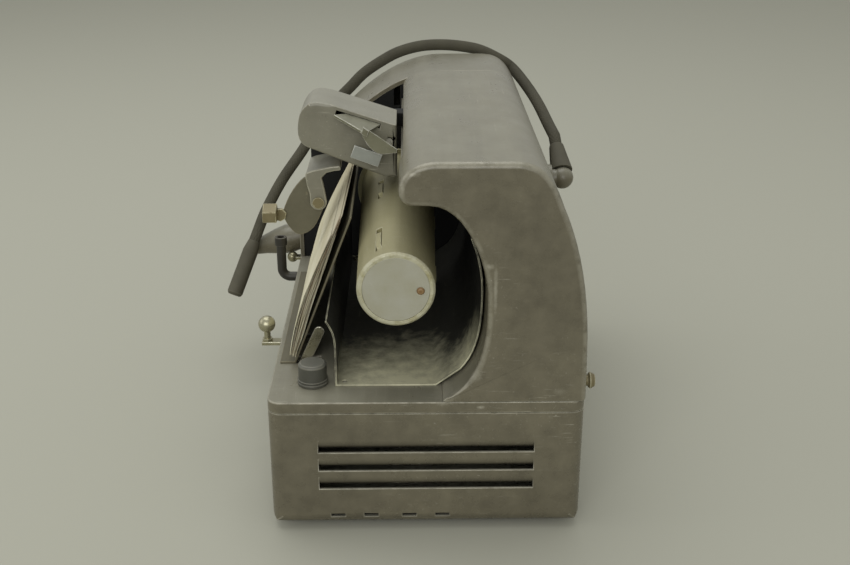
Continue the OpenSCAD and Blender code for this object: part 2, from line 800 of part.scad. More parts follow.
bell_t = 6;
module motor_case() {
    color(dark)
        in_frame()
            difference() {
                rod_y(motor_at, motor_d / 2, motor_y, motor_y + motor_l);
                rod_y(motor_at, motor_shaft_d / 2 + 2, motor_y - 1, motor_y + motor_l + 1);
            }
}
module motor_bells() {
    color(steel)
        in_frame()
            for (y = [motor_y - bell_t, motor_y + motor_l])
                difference() {
                    union() {
                        rod_y(motor_at, motor_d / 2 - 1, y, y + bell_t);
                        rod_y(motor_at, motor_shaft_d / 2 + 5, y - 2, y + bell_t + 2);
                    }
                    rod_y(motor_at, motor_shaft_d / 2 + run_gap, y - 4, y + bell_t + 4);
                    rod_y(motor_at, motor_shaft_d / 2 + 5.05, y > motor_y ? y - 3 : y + bell_t,
                        y > motor_y ? y : y + bell_t + 3);
                }
}
module motor_shaft() {
    color(steel)
        in_frame()
            rod_y(motor_at, motor_shaft_d / 2, motor_y - 44, pulley_y + belt_w + 5);
}
// Three weights on arms between two discs
module governor() {
    y = motor_y - 42;
    color("#a5854a")
        in_frame()
            difference() {
                union() {
                    rod_y(motor_at, 14, y, y + 3);
                    rod_y(motor_at, motor_shaft_d / 2 + 4, y, y + 26);
                    rod_y(motor_at, 17, y + 23, y + 26);
                    for (a = [0, 120, 240])
                        translate([motor_at[0], y + 13, motor_at[1]])
                            rotate([0, a, 0]) {
                                box([10, -12, -2.5], [11.2, 12, 2.5]);
                                translate([13, 0, 0])
                                    sphere(r = 4.2, $fn = 32);
                            }
                }
                rod_y(motor_at, motor_shaft_d / 2 + 0.02, y - 1, y + 28);
            }
}
module motor_cradle() {
    color(steel)
        in_frame()
            difference() {
                union()
                    for (y = [motor_y + 6, motor_y + motor_l - 18])
                        box([motor_x - motor_d / 2 - 6, y, floor_z],
                            [motor_x + motor_d / 2 + 6, y + 12, motor_z - 4]);
                rod_y(motor_at, motor_d / 2 + 0.02, motor_y, motor_y + motor_l);
            }
}

// Carriage

arm_y = head_y + head_l + 2;
block_y0 = arm_y + arm_w - 42;
block_y1 = arm_y + arm_w + 2;
head_n = [sin(head_tilt), cos(head_tilt)];
head_u = [cos(head_tilt), -sin(head_tilt)];
head_left = lip_x - 57;
head_foot = [head_left, lip_z + 4.5];
bracket_y = head_y + 7;
web_t = 3;
marker_at = [head_left + 6.5, lip_z - 33.3];
marker_r = 1.6;
marker_y = bracket_y + web_t + seat_gap;
module carriage_frame() {
    color(paint)
        in_frame()
            difference() {
                union() {
                    box([rod_at[0] - 9, block_y0, arm_z0], [rod_at[0] + 14, block_y1, arm_z1 + 1]);
                    prism_y([
                        [rod_at[0] - 8, arm_z0], [rod_at[0] - 8, arm_z1], [lip_x - 8, arm_z1],
                        [head_left + 20, top_z - 20], [head_left + 2, top_z - 28],
                        [head_left, top_z - 33], [head_left, top_z - 40],
                        [head_left + 6, top_z - 38], [head_left + 22, top_z - 30],
                        [lip_x - 9, arm_z0]], arm_y, arm_y + arm_w);
                }
                rod_y(rod_at, rod_d / 2 + run_gap, block_y0 - 1, block_y1 + 1);
                rod_y(pin_at, pin_d / 2, arm_y - 1, arm_y + arm_w - 2);
            }
}
// A flange under the head, with a web that hangs down to the marker's screw
module front_bracket() {
    flange = [[head_left - 0.8, lip_z - 14.6], [head_left + 3.2, lip_z - 13],
        [head_left + 14.2, lip_z - 10.6], [head_left + 20.6, lip_z - 10]];
    color(paint)
        in_frame()
            difference() {
                union() {
                    prism_y(strip(flange, -web_t), bracket_y, arm_y);
                    prism_y(concat(reversed(flange),
                        [[head_left - 1.1, lip_z - 17], [head_left - 0.4, lip_z - 22.2],
                            [head_left + 1.2, lip_z - 28]],
                        arc(marker_at, 5.2, 195, 360, 10),
                        [[head_left + 10.6, lip_z - 26], [head_left + 9, lip_z - 17.7],
                            [head_left + 12, lip_z - 14.6], [head_left + 20, lip_z - 12.6]]),
                        bracket_y, bracket_y + web_t);
                }
                rod_y(marker_at, marker_r, bracket_y - 1, bracket_y + web_t + 1);
            }
}
module half_nut() {
    y = block_y0 - seat_gap - 5;
    color("#a5854a")
        in_frame()
            difference() {
                union() {
                    rod_y(rod_at, rod_d / 2 + 3, y, y + 5);
                    prism_y([rod_at + [0, -3], feed_at + [-6, 3], feed_at + [-6, 0.3],
                        feed_at + [6, 0.3], feed_at + [6, 8.5], feed_at + [-6, 8.5],
                        rod_at + [0, 4]], y, y + 5);
                }
                rod_y(rod_at, rod_d / 2 + run_gap, y - 1, y + 6);
                rod_y(feed_at, feed_d / 2 + 2 * seat_gap, y - 1, y + 6);
            }
}
module hinge_pin() {
    color(steel)
        in_frame()
            rod_y(pin_at, pin_d / 2 - 0.02, head_y + 0.6, arm_y + arm_w - 2.5);
}

// Recorder head

// Outline of the head in X and Z: flat sole, tall rounded front, sloping top
head_right = lip_x - 1.8;
sole_r = head_foot + head_u * 58;
function head_outline() = concat(
    bez(head_foot, head_foot + [-3, 1.4], head_foot + [-4.4, 4], head_foot + [-4.2, 9], 4),
    bez(head_foot + [-4.2, 9], head_foot + [-3.6, 17], head_foot + [-2, 22],
        head_foot + [3, 25.4], 6),
    bez(head_foot + [3, 25.4], head_foot + [6.5, 27.6], head_foot + [12, 26.6],
        head_foot + [20, 23.9], 6),
    [head_foot + [20, 23.9], [head_right, top_z - 7.1], [head_right, head_foot[1] - 22.6]]);
// Plan of the head: rounded at the operator's side
function head_plan() = let (x0 = head_left - 8, x1 = head_right + 8, y1 = head_y + head_l)
    concat(arc([x0 + 12, head_y + 9], 9, 180, 270, 6), [[x1, head_y], [x1, y1]],
        arc([x0 + 18, y1 - 15], 15, 90, 180, 8));
module head_solid(g) {
    intersection() {
        prism_y(inset(reversed(head_outline()), g), head_y + g, head_y + head_l - g);
        linear_extrude(top_z + 40)
            polygon(inset(head_plan(), g));
    }
}
module head_cover() {
    color(paint)
        in_frame()
            difference() {
                union() {
                    difference() {
                        head_solid(0);
                        head_solid(head_t);
                        sole_cut();
                    }
                    rod_y(pin_at, pin_d / 2 + 1.8, head_y + head_t - eps,
                        head_y + head_l - head_t + eps);
                    strap();
                }
                sound_frame(0)
                    cylinder(r = sound_neck_r + 0.02, h = strap_h + 8);
                rod_y(pin_at, pin_d / 2 + run_gap, head_y - 1, head_y + head_l + 1);
                rod_y(mandrel_at, cylinder_d / 2 + 2.4, head_y - 1, head_y + head_l + 1);
                key_slot();
                tab_bar(0.5, head_y - 1, head_y + 5);
            }
}
// Opening in the sole, under the sound box
module sole_cut() {
    prism_y([
        head_foot + 6 * head_u - 4 * head_n, sole_r - 4 * head_n,
        sole_r + (head_t + 2) * head_n, head_foot + 6 * head_u + (head_t + 2) * head_n],
        head_y + head_t + 2, head_y + head_l - head_t - 2);
}
// A strap across the head's inside carries the sound box
strap_h = 9;
module strap() {
    a = sound_at - 8 * head_u + strap_h * head_n;
    b = sound_at + 8 * head_u + strap_h * head_n;
    prism_y([a, b, b + 2 * head_n, a + 2 * head_n], head_y + head_t - eps,
        head_y + head_l - head_t + eps);
}
sound_s = 27;
sound_neck_r = 6;
sound_y = head_y + head_l / 2;
sound_at = head_foot + sound_s * head_u;
module sound_frame(h) {
    p = sound_at + h * head_n;
    translate([p[0], sound_y, p[1]])
        rotate([0, head_tilt, 0])
            children();
}
module sound_box() {
    color(steel)
        in_frame()
            difference() {
                union() {
                    sound_frame(1.6)
                        cylinder(d = sound_d, h = strap_h - 1.6);
                    sound_frame(strap_h - eps)
                        cylinder(r = sound_neck_r, h = 6);
                }
                sound_frame(0)
                    cylinder(d = sound_d - 6, h = 4);
                sound_frame(0)
                    cylinder(r = 3, h = strap_h + 10);
            }
}
module diaphragm() {
    color("#8d6b45")
        in_frame()
            sound_frame(3.1)
                cylinder(d = sound_d - 6.04, h = 0.8);
}
// The stylus arm lies under the sole and ends above the wax cylinder
tip_at = mandrel_at + (cylinder_d / 2 + 0.2) * [cos(104), sin(104)];
module stylus_arm() {
    a = sound_at + 1.6 * head_n;
    b = tip_at + [0, 2.2];
    color(nickel)
        in_frame() {
            sound_frame(0.8)
                cylinder(r = 1.6, h = 2.3);
            lined([a[0], sound_y, a[1]], [b[0] - a[0], 0, b[1] - a[1]])
                cylinder(r = 0.9, h = norm(b - a));
            translate([tip_at[0], sound_y, tip_at[1]])
                cylinder(r1 = 0.3, r2 = 1.2, h = 2.6);
        }
}
// A plate through the near face bends down and ends in a half-moon for the finger
key_at = [lip_x - 32.4, top_z - 0.5];
key_turn = 17.4;
key_pitch = 11;
key_t = 1.6;
key_w = 21.8;
key_reach = 16;
paddle_y = head_y - key_reach * cos(key_pitch);
module key_frame() {
    translate([key_at[0], head_y, key_at[1]])
        rotate([0, key_turn, 0])
            children();
}
module key_slot() {
    key_frame()
        box([-5.6, -1, -key_t / 2 - 1.2], [key_w + 0.4, head_t + 1, key_t / 2 + seat_gap]);
}
module shift_key() {
    a = [lip_x - 21, top_z - 3.5];
    b = [lip_x - 22.1, top_z - 7.5];
    c = [lip_x - 1.4, top_z - 17.1];
    d = c + [0, -2.3];
    color(nickel)
        in_frame() {
            key_frame() {
                translate([0, -0.2, -key_t / 2])
                    cube([key_w, 8.2, key_t]);
                rotate([key_pitch, 0, 0])
                    translate([0, 0, -key_t / 2])
                        linear_extrude(key_t)
                            polygon([[0, 0], [-6.3, -5.7], [11.5, -key_reach],
                                [14.5, -key_reach], [key_w, 0]]);
            }
            prism_y(concat([c, a], bez(b, b + [2.6, -7], b + [6.4, -12], b + [12, -12.8], 6),
                [b + [12, -12.8], d]), paddle_y - key_t / 2, paddle_y + key_t / 2);
            prism_y([a, b, b + [3, -2.2], a + [3.4, -2.4]], paddle_y - 2, paddle_y);
        }
}
tab_y = head_y - 10;
tab_a = [lip_x - 27.85, lip_z + 3.9];
tab_turn = 20.5;
tab_u = [cos(tab_turn), -sin(tab_turn)];
tab_n = left(tab_u);
tab_w = 17.4;
tab_h = 7.8;
module tab_bar(g, y0, y1) {
    a = tab_a + (tab_w - 6) * tab_u;
    prism_y([a - g * tab_u - (2 + g) * tab_n, a + (6 + g) * tab_u - (2 + g) * tab_n,
        a + (6 + g) * tab_u + (2 + g) * tab_n, a - g * tab_u + (2 + g) * tab_n], y0, y1);
}
module voice_tab() {
    color("#c4c4ba")
        in_frame() {
            prism_y([tab_a - tab_h / 2 * tab_n, tab_a + tab_w * tab_u - tab_h / 2 * tab_n,
                tab_a + tab_w * tab_u + tab_h / 2 * tab_n, tab_a + tab_h / 2 * tab_n],
                tab_y, tab_y + 1.6);
            tab_bar(0, tab_y, head_y + 6);
        }
}

// Marker for the paper slips

module marker_plate() {
    m = marker_at;
    color("#7d7a68")
        in_frame()
            difference() {
                prism_y(concat(
                    [m + [-6.6, 14.9]],
                    bez(m + [-8.7, 14.9], m + [-14.5, 10.5], m + [-20.5, 0.5], m + [-22.8, -8], 7),
                    bez(m + [-22.8, -8.4], m + [-22, -13], m + [-18.5, -19], m + [-15.2, -21.3], 5),
                    bez(m + [-15.2, -21.3], m + [-12.5, -23], m + [-8, -22], m + [-3.7, -17.4], 5),
                    bez(m + [-3.7, -17.4], m + [-1, -14], m + [1, -8], m + [3.1, -4.2], 4),
                    [m + [3.1, -4.2], m + [3.7, 0.3], m + [2.4, 7.3], m + [-1.1, 12.3]]),
                    marker_y, marker_y + marker_t);
                rod_y(m, marker_r + run_gap, bracket_y, marker_y + marker_t + 1);
            }
}
// A folded tab for the finger, with a neck that is riveted to the plate's left corner
tab_t = 1.4;
module marker_key() {
    m = marker_at;
    x0 = m[0] - 34.2;
    x1 = m[0] - 25.6;
    y0 = marker_y - 11.3;
    y1 = marker_y - 3.3;
    color(nickel)
        in_frame() {
            translate([x0, 0, 0])
                rotate([90, 0, 90])
                    linear_extrude(x1 - x0)
                        polygon([[y1, m[1] - 0.4], [y0, m[1] - 3.9], [y0, m[1] - 10.6],
                            [y0 + tab_t, m[1] - 10.6], [y0 + tab_t, m[1] - 4.9],
                            [y1, m[1] - 0.4 - tab_t]]);
            translate([x1 - tab_t, 0, 0])
                rotate([90, 0, 90])
                    linear_extrude(tab_t)
                        polygon([[y0, m[1] - 3.9], [y0, m[1] - 10.6], [marker_y, m[1] - 12],
                            [marker_y, m[1] - 5], [y1, m[1] - 0.4]]);
            prism_y([[x1 - tab_t, m[1] - 5], [x1 + 3, m[1] - 4.6], [x1 + 5.4, m[1] - 7.4],
                [x1 + 4.6, m[1] - 11], [x1 + 1.6, m[1] - 13], [x1 - tab_t, m[1] - 12]],
                marker_y - 2, marker_y);
        }
}
// The screw holds the plate between the web and a collar at its own end
module marker_screw() {
    color("#8c8468")
        in_frame() {
            rod_y(marker_at, 3.6, bracket_y - 1.8, bracket_y);
            rod_y(marker_at, marker_r - 0.02, bracket_y - eps, marker_y + marker_t + 1.6);
            rod_y(marker_at, 2.6, marker_y + marker_t + seat_gap, marker_y + marker_t + 1.6);
        }
}

// Controls on the deck and the operator's side

module deck_knob() {
    r = knob_d / 2;
    color(black)
        in_frame() {
            difference() {
                union() {
                    peg(knob_at[0], knob_at[1], deck_z + seat_gap, deck_z + knob_h - 1.2, r - 0.6);
                    translate([knob_at[0], knob_at[1], deck_z + knob_h - 1.2])
                        cylinder(r1 = r - 0.6, r2 = r - 1.8, h = 1.2);
                    peg(knob_at[0], knob_at[1], deck_z + seat_gap, deck_z + 2.2, r);
                    peg(knob_at[0], knob_at[1], deck_z + 3, deck_z + 3.8, r);
                }
                peg(knob_at[0], knob_at[1], deck_z, deck_z + knob_h - 4, knob_shaft_r);
            }
            peg(knob_at[0], knob_at[1], seam_z - 6, deck_z + knob_h - 4, knob_shaft_r);
        }
}
module speed_switch() {
    color("#4a4438")
        in_frame()
            difference() {
                union() {
                    peg(knob_at[0], knob_at[1], seam_z - 14, deck_z - cast_t, 11);
                    box([knob_at[0] - 3, knob_at[1] - 15, seam_z - 13],
                        [knob_at[0] + 3, knob_at[1] + 15, seam_z - 11.5]);
                }
                peg(knob_at[0], knob_at[1], seam_z - 6.4, deck_z, knob_shaft_r + run_gap);
            }
}
release_pin = [release_at[0], deck_z - cast_t - 4];
module release_lever() {
    y0 = release_at[1] - 1;
    color(nickel)
        in_frame() {
            translate([release_pin[0], y0, release_pin[1]])
                rotate([0, 25, 0])
                    difference() {
                        union() {
                            box([-release_w / 2, 0, 0], [release_w / 2, 2, release_l + 4]);
                            translate([0, 0, release_l + 4])
                                rotate([-90, 0, 0])
                                    cylinder(r = release_w / 2, h = 2);
                            rotate([-90, 0, 0])
                                cylinder(r = release_w / 2, h = 2);
                        }
                        translate([0, -1, 0])
                            rotate([-90, 0, 0])
                                cylinder(r = lever_pin_r + run_gap, h = 4);
                    }
        }
}
module ball_lever(at, x_end) {
    difference() {
        union() {
            box([x_end, at[1] - 3.2, lever_top - lever_t], [at[0], at[1] + 3.2, lever_top]);
            peg(at[0], at[1], lever_top - lever_t, lever_top, 6);
        }
        peg(at[0], at[1], seam_z - 5, deck_z, lever_pin_r + run_gap);
    }
}
near_post_x = -wall_x - 9;
far_post_x = -wall_x - 7;
module near_ball_lever() {
    r = near_ball_d / 2;
    zc = lever_top + 6 + r;
    color(nickel)
        in_frame() {
            ball_lever(near_lever_at, near_post_x - 3.5);
            peg(near_post_x, near_lever_at[1], lever_top - eps, zc, 2);
            peg(near_post_x, near_lever_at[1], lever_top - eps, lever_top + 2, 3.2);
            translate([near_post_x, near_lever_at[1], zc])
                sphere(r = r, $fn = 48);
        }
}
module far_ball_lever() {
    color(nickel)
        in_frame() {
            ball_lever(far_lever_at, far_post_x + 1.6);
            translate([far_post_x, far_lever_at[1], lever_top - lever_t / 2 + 0.3])
                rotate([0, -90, 0])
                    sphere(d = far_ball_d, $fn = 48);
        }
}
// Studs that the ball levers and the release lever turn on
module lever_studs() {
    z = lever_top - lever_t - seat_gap;
    color(steel)
        in_frame() {
            for (p = [near_lever_at, far_lever_at]) {
                peg(p[0], p[1], z - 2, deck_z - 0.4, lever_pin_r);
                peg(p[0], p[1], z - 2, z, 4);
            }
            rod_y(release_pin, lever_pin_r, release_at[1] - 6, release_at[1] + 6);
            for (y = [-6, 3.5])
                box([release_pin[0] - 4, release_at[1] + y, release_pin[1] - 4],
                    [release_pin[0] + 4, release_at[1] + y + 2.5, deck_z - cast_t]);
        }
}
hook_at = [base_l - 96, seam_z + band_h / 2];
hook_out = 10.5;
hook_bend = 6;
module hook_stud(g) {
    translate([-wall_x - 1, hook_at[0], hook_at[1]])
        rotate([0, 90, 0])
            cylinder(r = 2 + g, h = cast_t + 4);
}
module bent_hook() {
    r = hook_d / 2 - 0.2;
    x = -wall_x - hook_out;
    color(black)
        in_frame() {
            hook_stud(0);
            translate([x + hook_bend, hook_at[0], hook_at[1]])
                rotate([0, 90, 0])
                    cylinder(r = r, h = hook_out - hook_bend);
            translate([x + hook_bend, hook_at[0], hook_at[1] + hook_bend])
                rotate([90, 0, 0])
                    rotate([0, 0, 180])
                        rotate_extrude(angle = 90)
                            translate([hook_bend, 0])
                                circle(r = r);
            difference() {
                union() {
                    peg(x, hook_at[0], hook_at[1] + hook_bend, hook_at[1] + hook_h, r);
                    peg(x, hook_at[0], hook_at[1] + hook_h - 6, hook_at[1] + hook_h, r + 1);
                }
                peg(x, hook_at[0], hook_at[1] + hook_h - 3, hook_at[1] + hook_h + 1, r - 0.8);
            }
        }
}
module rest_stud(g) {
    translate([-wall_x - 2, rest_y, rest_z])
        rotate([0, 90, 0])
            cylinder(r = 3 + g, h = cast_t + 6);
}
module tube_rest() {
    l = rest_l;
    color(dark)
        in_frame() {
            intersection() {
                translate([-wall_x + 3, rest_y, rest_z])
                    rotate([0, -90 - rest_drop, 0])
                        rotate_extrude()
                            polygon([[0, 0], [rest_r - 2, 0], [rest_r - 1, 8], [rest_r, 14],
                                [rest_r - 1.4, 22], [tip_r + 1, l - 6], [tip_r, l + 1],
                                [tip_r - 1.4, l + 3], [tip_r - 3.4, l + 3.8], [0, l + 3.8]]);
                box([-wall_x - rest_l, rest_y - 30, 0], [-wall_x, rest_y + 30, top_z]);
            }
            rest_stud(0);
        }
}
module thumb_screw() {
    color("#5f4a34")
        in_frame()
            translate([wall_x, thumb_at[0], thumb_at[1]])
                rotate([0, 90, 0]) {
                    translate([0, 0, -9])
                        cylinder(r = thumb_r, h = 12);
                    translate([0, 0, seat_gap])
                        cylinder(r = 3.2, h = 2);
                    translate([0, 0, 2])
                        cylinder(r1 = 3.4, r2 = 4.8, h = 1.2);
                    translate([0, 0, 3.2])
                        cylinder(r1 = 4.8, r2 = 3.4, h = 2.8);
                }
}

// Speaking tube

elbow_r = 6;
elbow_root = wall_x - 12;
collar_x = wall_x - 1.5;
module elbow_neck(g) {
    translate([elbow_root, elbow_at[1], elbow_at[2]])
        rotate([0, 90, 0])
            cylinder(r = elbow_r + g, h = elbow_at[0] - elbow_root);
}
module tube_elbow() {
    color(dark)
        in_frame() {
            elbow_neck(0);
            difference() {
                translate([elbow_root, elbow_at[1], elbow_at[2]])
                    rotate([0, 90, 0])
                        cylinder(r = elbow_r + 3, h = collar_x - elbow_root);
                prism_y(hood_outline(deck_z - 10), 0, base_l);
            }
            translate(elbow_at)
                sphere(r = 7.5, $fn = 48);
            lined(elbow_at, boot_dir)
                cylinder(r = 5, h = 14);
        }
}
module tube_boot() {
    color(black)
        in_frame()
            difference() {
                lined(elbow_at, boot_dir)
                    translate([0, 0, 5])
                        cylinder(r1 = 8, r2 = tube_d / 2 + 0.8, h = boot_len - 5);
                translate(elbow_at)
                    sphere(r = 7.52, $fn = 48);
                lined(elbow_at, boot_dir)
                    cylinder(r = 5.02, h = 14.02);
                elbow_neck(0.02);
                box([wall_x - 20, 0, 0], [collar_x + seat_gap, base_l, top_z]);
            }
}
// A tube swept along points p with s sides; rings follow the points
function ring_dir(p, i) = unit(p[min(i + 1, len(p) - 1)] - p[max(i - 1, 0)]);
function side_dir(t) = unit(cross(t, abs(t[0]) > 0.8 ? [0, 1, 0] : [1, 0, 0]));
function carried(v, t) = unit(v - (v * t) * t);
function side_dirs(p, i, v) = i == len(p) ? [] :
    let (w = carried(v, ring_dir(p, i))) concat([w], side_dirs(p, i + 1, w));
module swept_tube(p, r, s) {
    v = side_dirs(p, 0, side_dir(ring_dir(p, 0)));
    n = len(p);
    pts = [for (i = [0 : n - 1], k = [0 : s - 1])
        let (t = ring_dir(p, i), u = v[i], w = cross(t, u), a = 360 * k / s)
        p[i] + r * (cos(a) * u + sin(a) * w)];
    sides = [for (i = [0 : n - 2], k = [0 : s - 1])
        [i * s + k, i * s + (k + 1) % s, (i + 1) * s + (k + 1) % s, (i + 1) * s + k]];
    polyhedron(points = pts, faces = concat(sides,
        [[for (k = [s - 1 : -1 : 0]) k], [for (k = [0 : s - 1]) (n - 1) * s + k]]));
}
// Smooth line through the route's points
function smooth_route(p, m) = [for (i = [0 : len(p) - 2], j = [0 : m - 1]) let (
    t = j / m, n = len(p),
    a = p[max(i - 1, 0)], b = p[i], c = p[i + 1], d = p[min(i + 2, n - 1)])
    0.5 * (2 * b + t * (c - a) + t * t * (2 * a - 5 * b + 4 * c - d)
        + t * t * t * (3 * b - a - 3 * c + d))];
// The tube is straight for a diameter at the boot and at the sleeve
module speaking_tube() {
    color("#4b4a3f")
        in_frame()
            swept_tube(concat([boot_end, boot_end + tube_d / 2 * boot_dir],
                smooth_route(concat([boot_end + tube_d * boot_dir], route), 2),
                [route[len(route) - 1], sleeve_at]), tube_d / 2, 12);
}
module tube_sleeve() {
    color(black)
        in_frame()
            difference() {
                lined(sleeve_at, sleeve_dir) {
                    cylinder(r1 = tube_d / 2 + 0.2, r2 = sleeve_d / 2, h = 8);
                    translate([0, 0, 8])
                        cylinder(r = sleeve_d / 2, h = sleeve_l - 10);
                    translate([0, 0, sleeve_l - 2])
                        cylinder(r1 = sleeve_d / 2, r2 = sleeve_d / 2 - 1.2, h = 2);
                }
                lined(sleeve_at + (sleeve_l - socket_l) * sleeve_dir, sleeve_dir)
                    cylinder(r = socket_d / 2, h = socket_l + 5);
            }
}
module power_inlet() {
    color(black)
        in_frame()
            difference() {
                union() {
                    rod_x(inlet_at, inlet_r - 0.02, wall_x - inlet_depth, wall_x);
                    rod_x(inlet_at, inlet_r + 2.5, wall_x, wall_x + 1.5);
                }
                rod_x(inlet_at, inlet_r - 2, wall_x + 4 - inlet_depth, wall_x + 5);
            }
}

base_shell();
rubber_feet();
deck_casting();
base_screws();
hood_cover();
end_housing();
bearing_plate();
near_plate();
chip_tray();
tray_screws();
slip_board();
slip_pad();
mandrel_drum();
mandrel_cap();
mandrel_pin();
rib_springs();
mandrel_shaft();
mandrel_bushes();
mandrel_gear();
mandrel_pulley();
idler_gear();
idler_stud();
feed_screw();
feed_bushes();
feed_gear();
guide_rod();
drive_belt();
motor_case();
motor_bells();
motor_shaft();
motor_pulley();
governor();
motor_cradle();
carriage_frame();
half_nut();
hinge_pin();
head_cover();
sound_box();
diaphragm();
stylus_arm();
shift_key();
voice_tab();
front_bracket();
marker_plate();
marker_key();
marker_screw();
deck_knob();
speed_switch();
release_lever();
near_ball_lever();
far_ball_lever();
lever_studs();
bent_hook();
tube_rest();
thumb_screw();
tube_elbow();
tube_boot();
speaking_tube();
tube_sleeve();
power_inlet();
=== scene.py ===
# %% [markdown]
# # A cylinder dictation machine
# The machine cuts speech into a wax cylinder. The imported model brings every
# part at its real size. This script gives the parts their rounded and worn
# edges, their enamel, metal, rubber and paper, and sets the machine in a plain
# studio with a camera and lamps.

import json
import math

import bmesh
import bpy
from mathutils import Matrix, Vector

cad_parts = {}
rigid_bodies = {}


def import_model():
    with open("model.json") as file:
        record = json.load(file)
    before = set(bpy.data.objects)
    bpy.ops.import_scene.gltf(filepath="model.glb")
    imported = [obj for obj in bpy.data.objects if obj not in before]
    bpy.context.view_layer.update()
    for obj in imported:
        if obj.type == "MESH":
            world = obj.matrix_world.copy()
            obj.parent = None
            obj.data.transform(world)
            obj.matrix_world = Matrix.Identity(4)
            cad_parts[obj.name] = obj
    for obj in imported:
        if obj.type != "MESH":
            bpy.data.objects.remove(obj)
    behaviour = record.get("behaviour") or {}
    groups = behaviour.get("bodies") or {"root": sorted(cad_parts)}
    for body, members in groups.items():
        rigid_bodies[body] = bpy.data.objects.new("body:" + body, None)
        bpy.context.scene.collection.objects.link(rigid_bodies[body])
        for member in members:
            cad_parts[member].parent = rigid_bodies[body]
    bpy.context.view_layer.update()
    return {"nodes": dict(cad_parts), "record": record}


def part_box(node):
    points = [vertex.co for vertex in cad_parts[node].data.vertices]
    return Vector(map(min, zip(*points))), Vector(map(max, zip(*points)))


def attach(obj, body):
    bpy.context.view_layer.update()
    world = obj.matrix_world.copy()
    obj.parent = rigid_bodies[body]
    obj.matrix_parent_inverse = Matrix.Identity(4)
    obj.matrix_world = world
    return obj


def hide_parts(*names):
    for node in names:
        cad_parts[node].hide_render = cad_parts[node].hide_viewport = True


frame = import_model()
nodes = frame["nodes"]
record = frame["record"]
body_of = {n: b for b, names in record["behaviour"]["bodies"].items() for n in names}
print("nodes:", len(nodes), "bodies:", len(set(body_of.values())))

# %% [markdown]
# ## The drawing's own origin
# The shop drawing measures from the middle of the base's loading end. The model
# has its origin under the middle of the whole object, so one helper carries a
# point of the drawing, in millimetres, into the model, in metres. The places
# below can then be compared with the drawing.

# %% A point of the drawing
DRAWING_SHIFT = (12.25, -147.5, 0.0)


def mm(x, y, z):
    return Vector((x + DRAWING_SHIFT[0], y + DRAWING_SHIFT[1], z + DRAWING_SHIFT[2])) / 1000


print("mandrel's free end at", tuple(round(v, 4) for v in mm(-16.2, 0, 150.5)))

# %% [markdown]
# ## The camera
# The photographer stood at the loading end, a little above the machine, with a
# normal lens. The lens and place were fitted to the straight edges of the base.

# %% The camera
SENSOR = 36.0
FOCAL_PX = 1150.1
IMAGE_W = 850
camera_data = bpy.data.cameras.new("camera")
camera_data.sensor_width = SENSOR
camera_data.lens = FOCAL_PX * SENSOR / IMAGE_W
camera = bpy.data.objects.new("camera", camera_data)
scene_objects = bpy.context.scene.collection.objects
scene_objects.link(camera)
look = Vector((0.0142, 0.9264, -0.3763)).normalized()
right = Vector((0.99988, -0.0153, 0.0))
up = right.cross(look)
camera.matrix_world = Matrix((right, up, -look)).transposed().to_4x4()
camera.location = mm(-9.38, -566.4, 384.9)
bpy.context.scene.camera = camera
print("lens", round(camera_data.lens, 2), "mm")

# %% [markdown]
# ## The speaking tube's path
# The tube is a stiff rubber hose with a woven cover. It leaves the boot on the
# back of the hood, arches over the drive end and comes down on its rest, so most
# of its length shows. It follows the same points as its solid, joined by a
# smooth curve, and runs straight for one diameter at both ends. The line is
# worked out first, because its length is also the length of the hose.

# %% The speaking tube's path
TUBE_D = 0.0082
SLEEVE_LEAD = 4
STEPS_A_SPAN = 6
ELBOW = Vector((95, 181, 157.5))
BOOT_END = Vector((92.5, 200, 174.5))
BOOT_DIR = (BOOT_END - ELBOW).normalized()
SLEEVE_DIR = Vector((-19, -24.5, -46.5)).normalized()
ROUTE = [
    (90, 228, 182.5), (85.5, 258, 190.5), (79, 283, 198.5), (70, 300, 207.5),
    (60, 300, 214.5), (45, 300, 221.5), (30, 300, 224.5), (15, 300, 225.5),
    (0, 300, 224.5), (-15, 300, 220.5), (-27, 300, 214.5), (-42, 300, 204.5),
    (-53, 300, 193.5), (-63, 300, 183.5), (-77, 296, 167.5), (-89, 284, 149.5),
    (-104, 268, 130.5), (-115, 253, 112.5), (-120, 246, 101.5),
]


def smooth_line(points, steps):
    line = []
    last = len(points) - 1
    for i in range(last):
        a, b = points[max(i - 1, 0)], points[i]
        c, d = points[i + 1], points[min(i + 2, last)]
        for j in range(steps):
            t = j / steps
            line.append(0.5 * (2 * b + t * (c - a) + t**2 * (2 * a - 5 * b + 4 * c - d)
                               + t**3 * (3 * b - a - 3 * c + d)))
    return line + [points[last]]


tube_mm = 1000 * TUBE_D
tube_start = BOOT_END + tube_mm * BOOT_DIR
sleeve_at = Vector(ROUTE[-1]) + (tube_mm + SLEEVE_LEAD) * SLEEVE_DIR
tube_line = [BOOT_END, BOOT_END + tube_mm / 2 * BOOT_DIR]
tube_line += smooth_line([tube_start] + [Vector(p) for p in ROUTE], STEPS_A_SPAN) + [sleeve_at]
tube_line = [mm(*p) for p in tube_line]
tube_length = sum((b - a).length for a, b in zip(tube_line, tube_line[1:]))
print("speaking tube:", round(tube_length, 3), "m")

# %% [markdown]
# ## Putting a piece on the machine
# Each finished piece gets its material, rides on its body and names the solid
# that it stands for. One helper does this for all, so that none is forgotten.

# %% Placing a piece
def place(mesh, material, node):
    piece = bpy.data.objects.new(node + "_piece", mesh)
    scene_objects.link(piece)
    mesh.materials.clear()
    mesh.materials.append(material)
    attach(piece, body_of[node])
    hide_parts(node)
    return piece


# %% [markdown]
# ## Small tools for node trees
# Materials and Geometry Nodes are both trees of nodes. One helper adds a node,
# sets its values and links its inputs, so that the trees read as short lists.

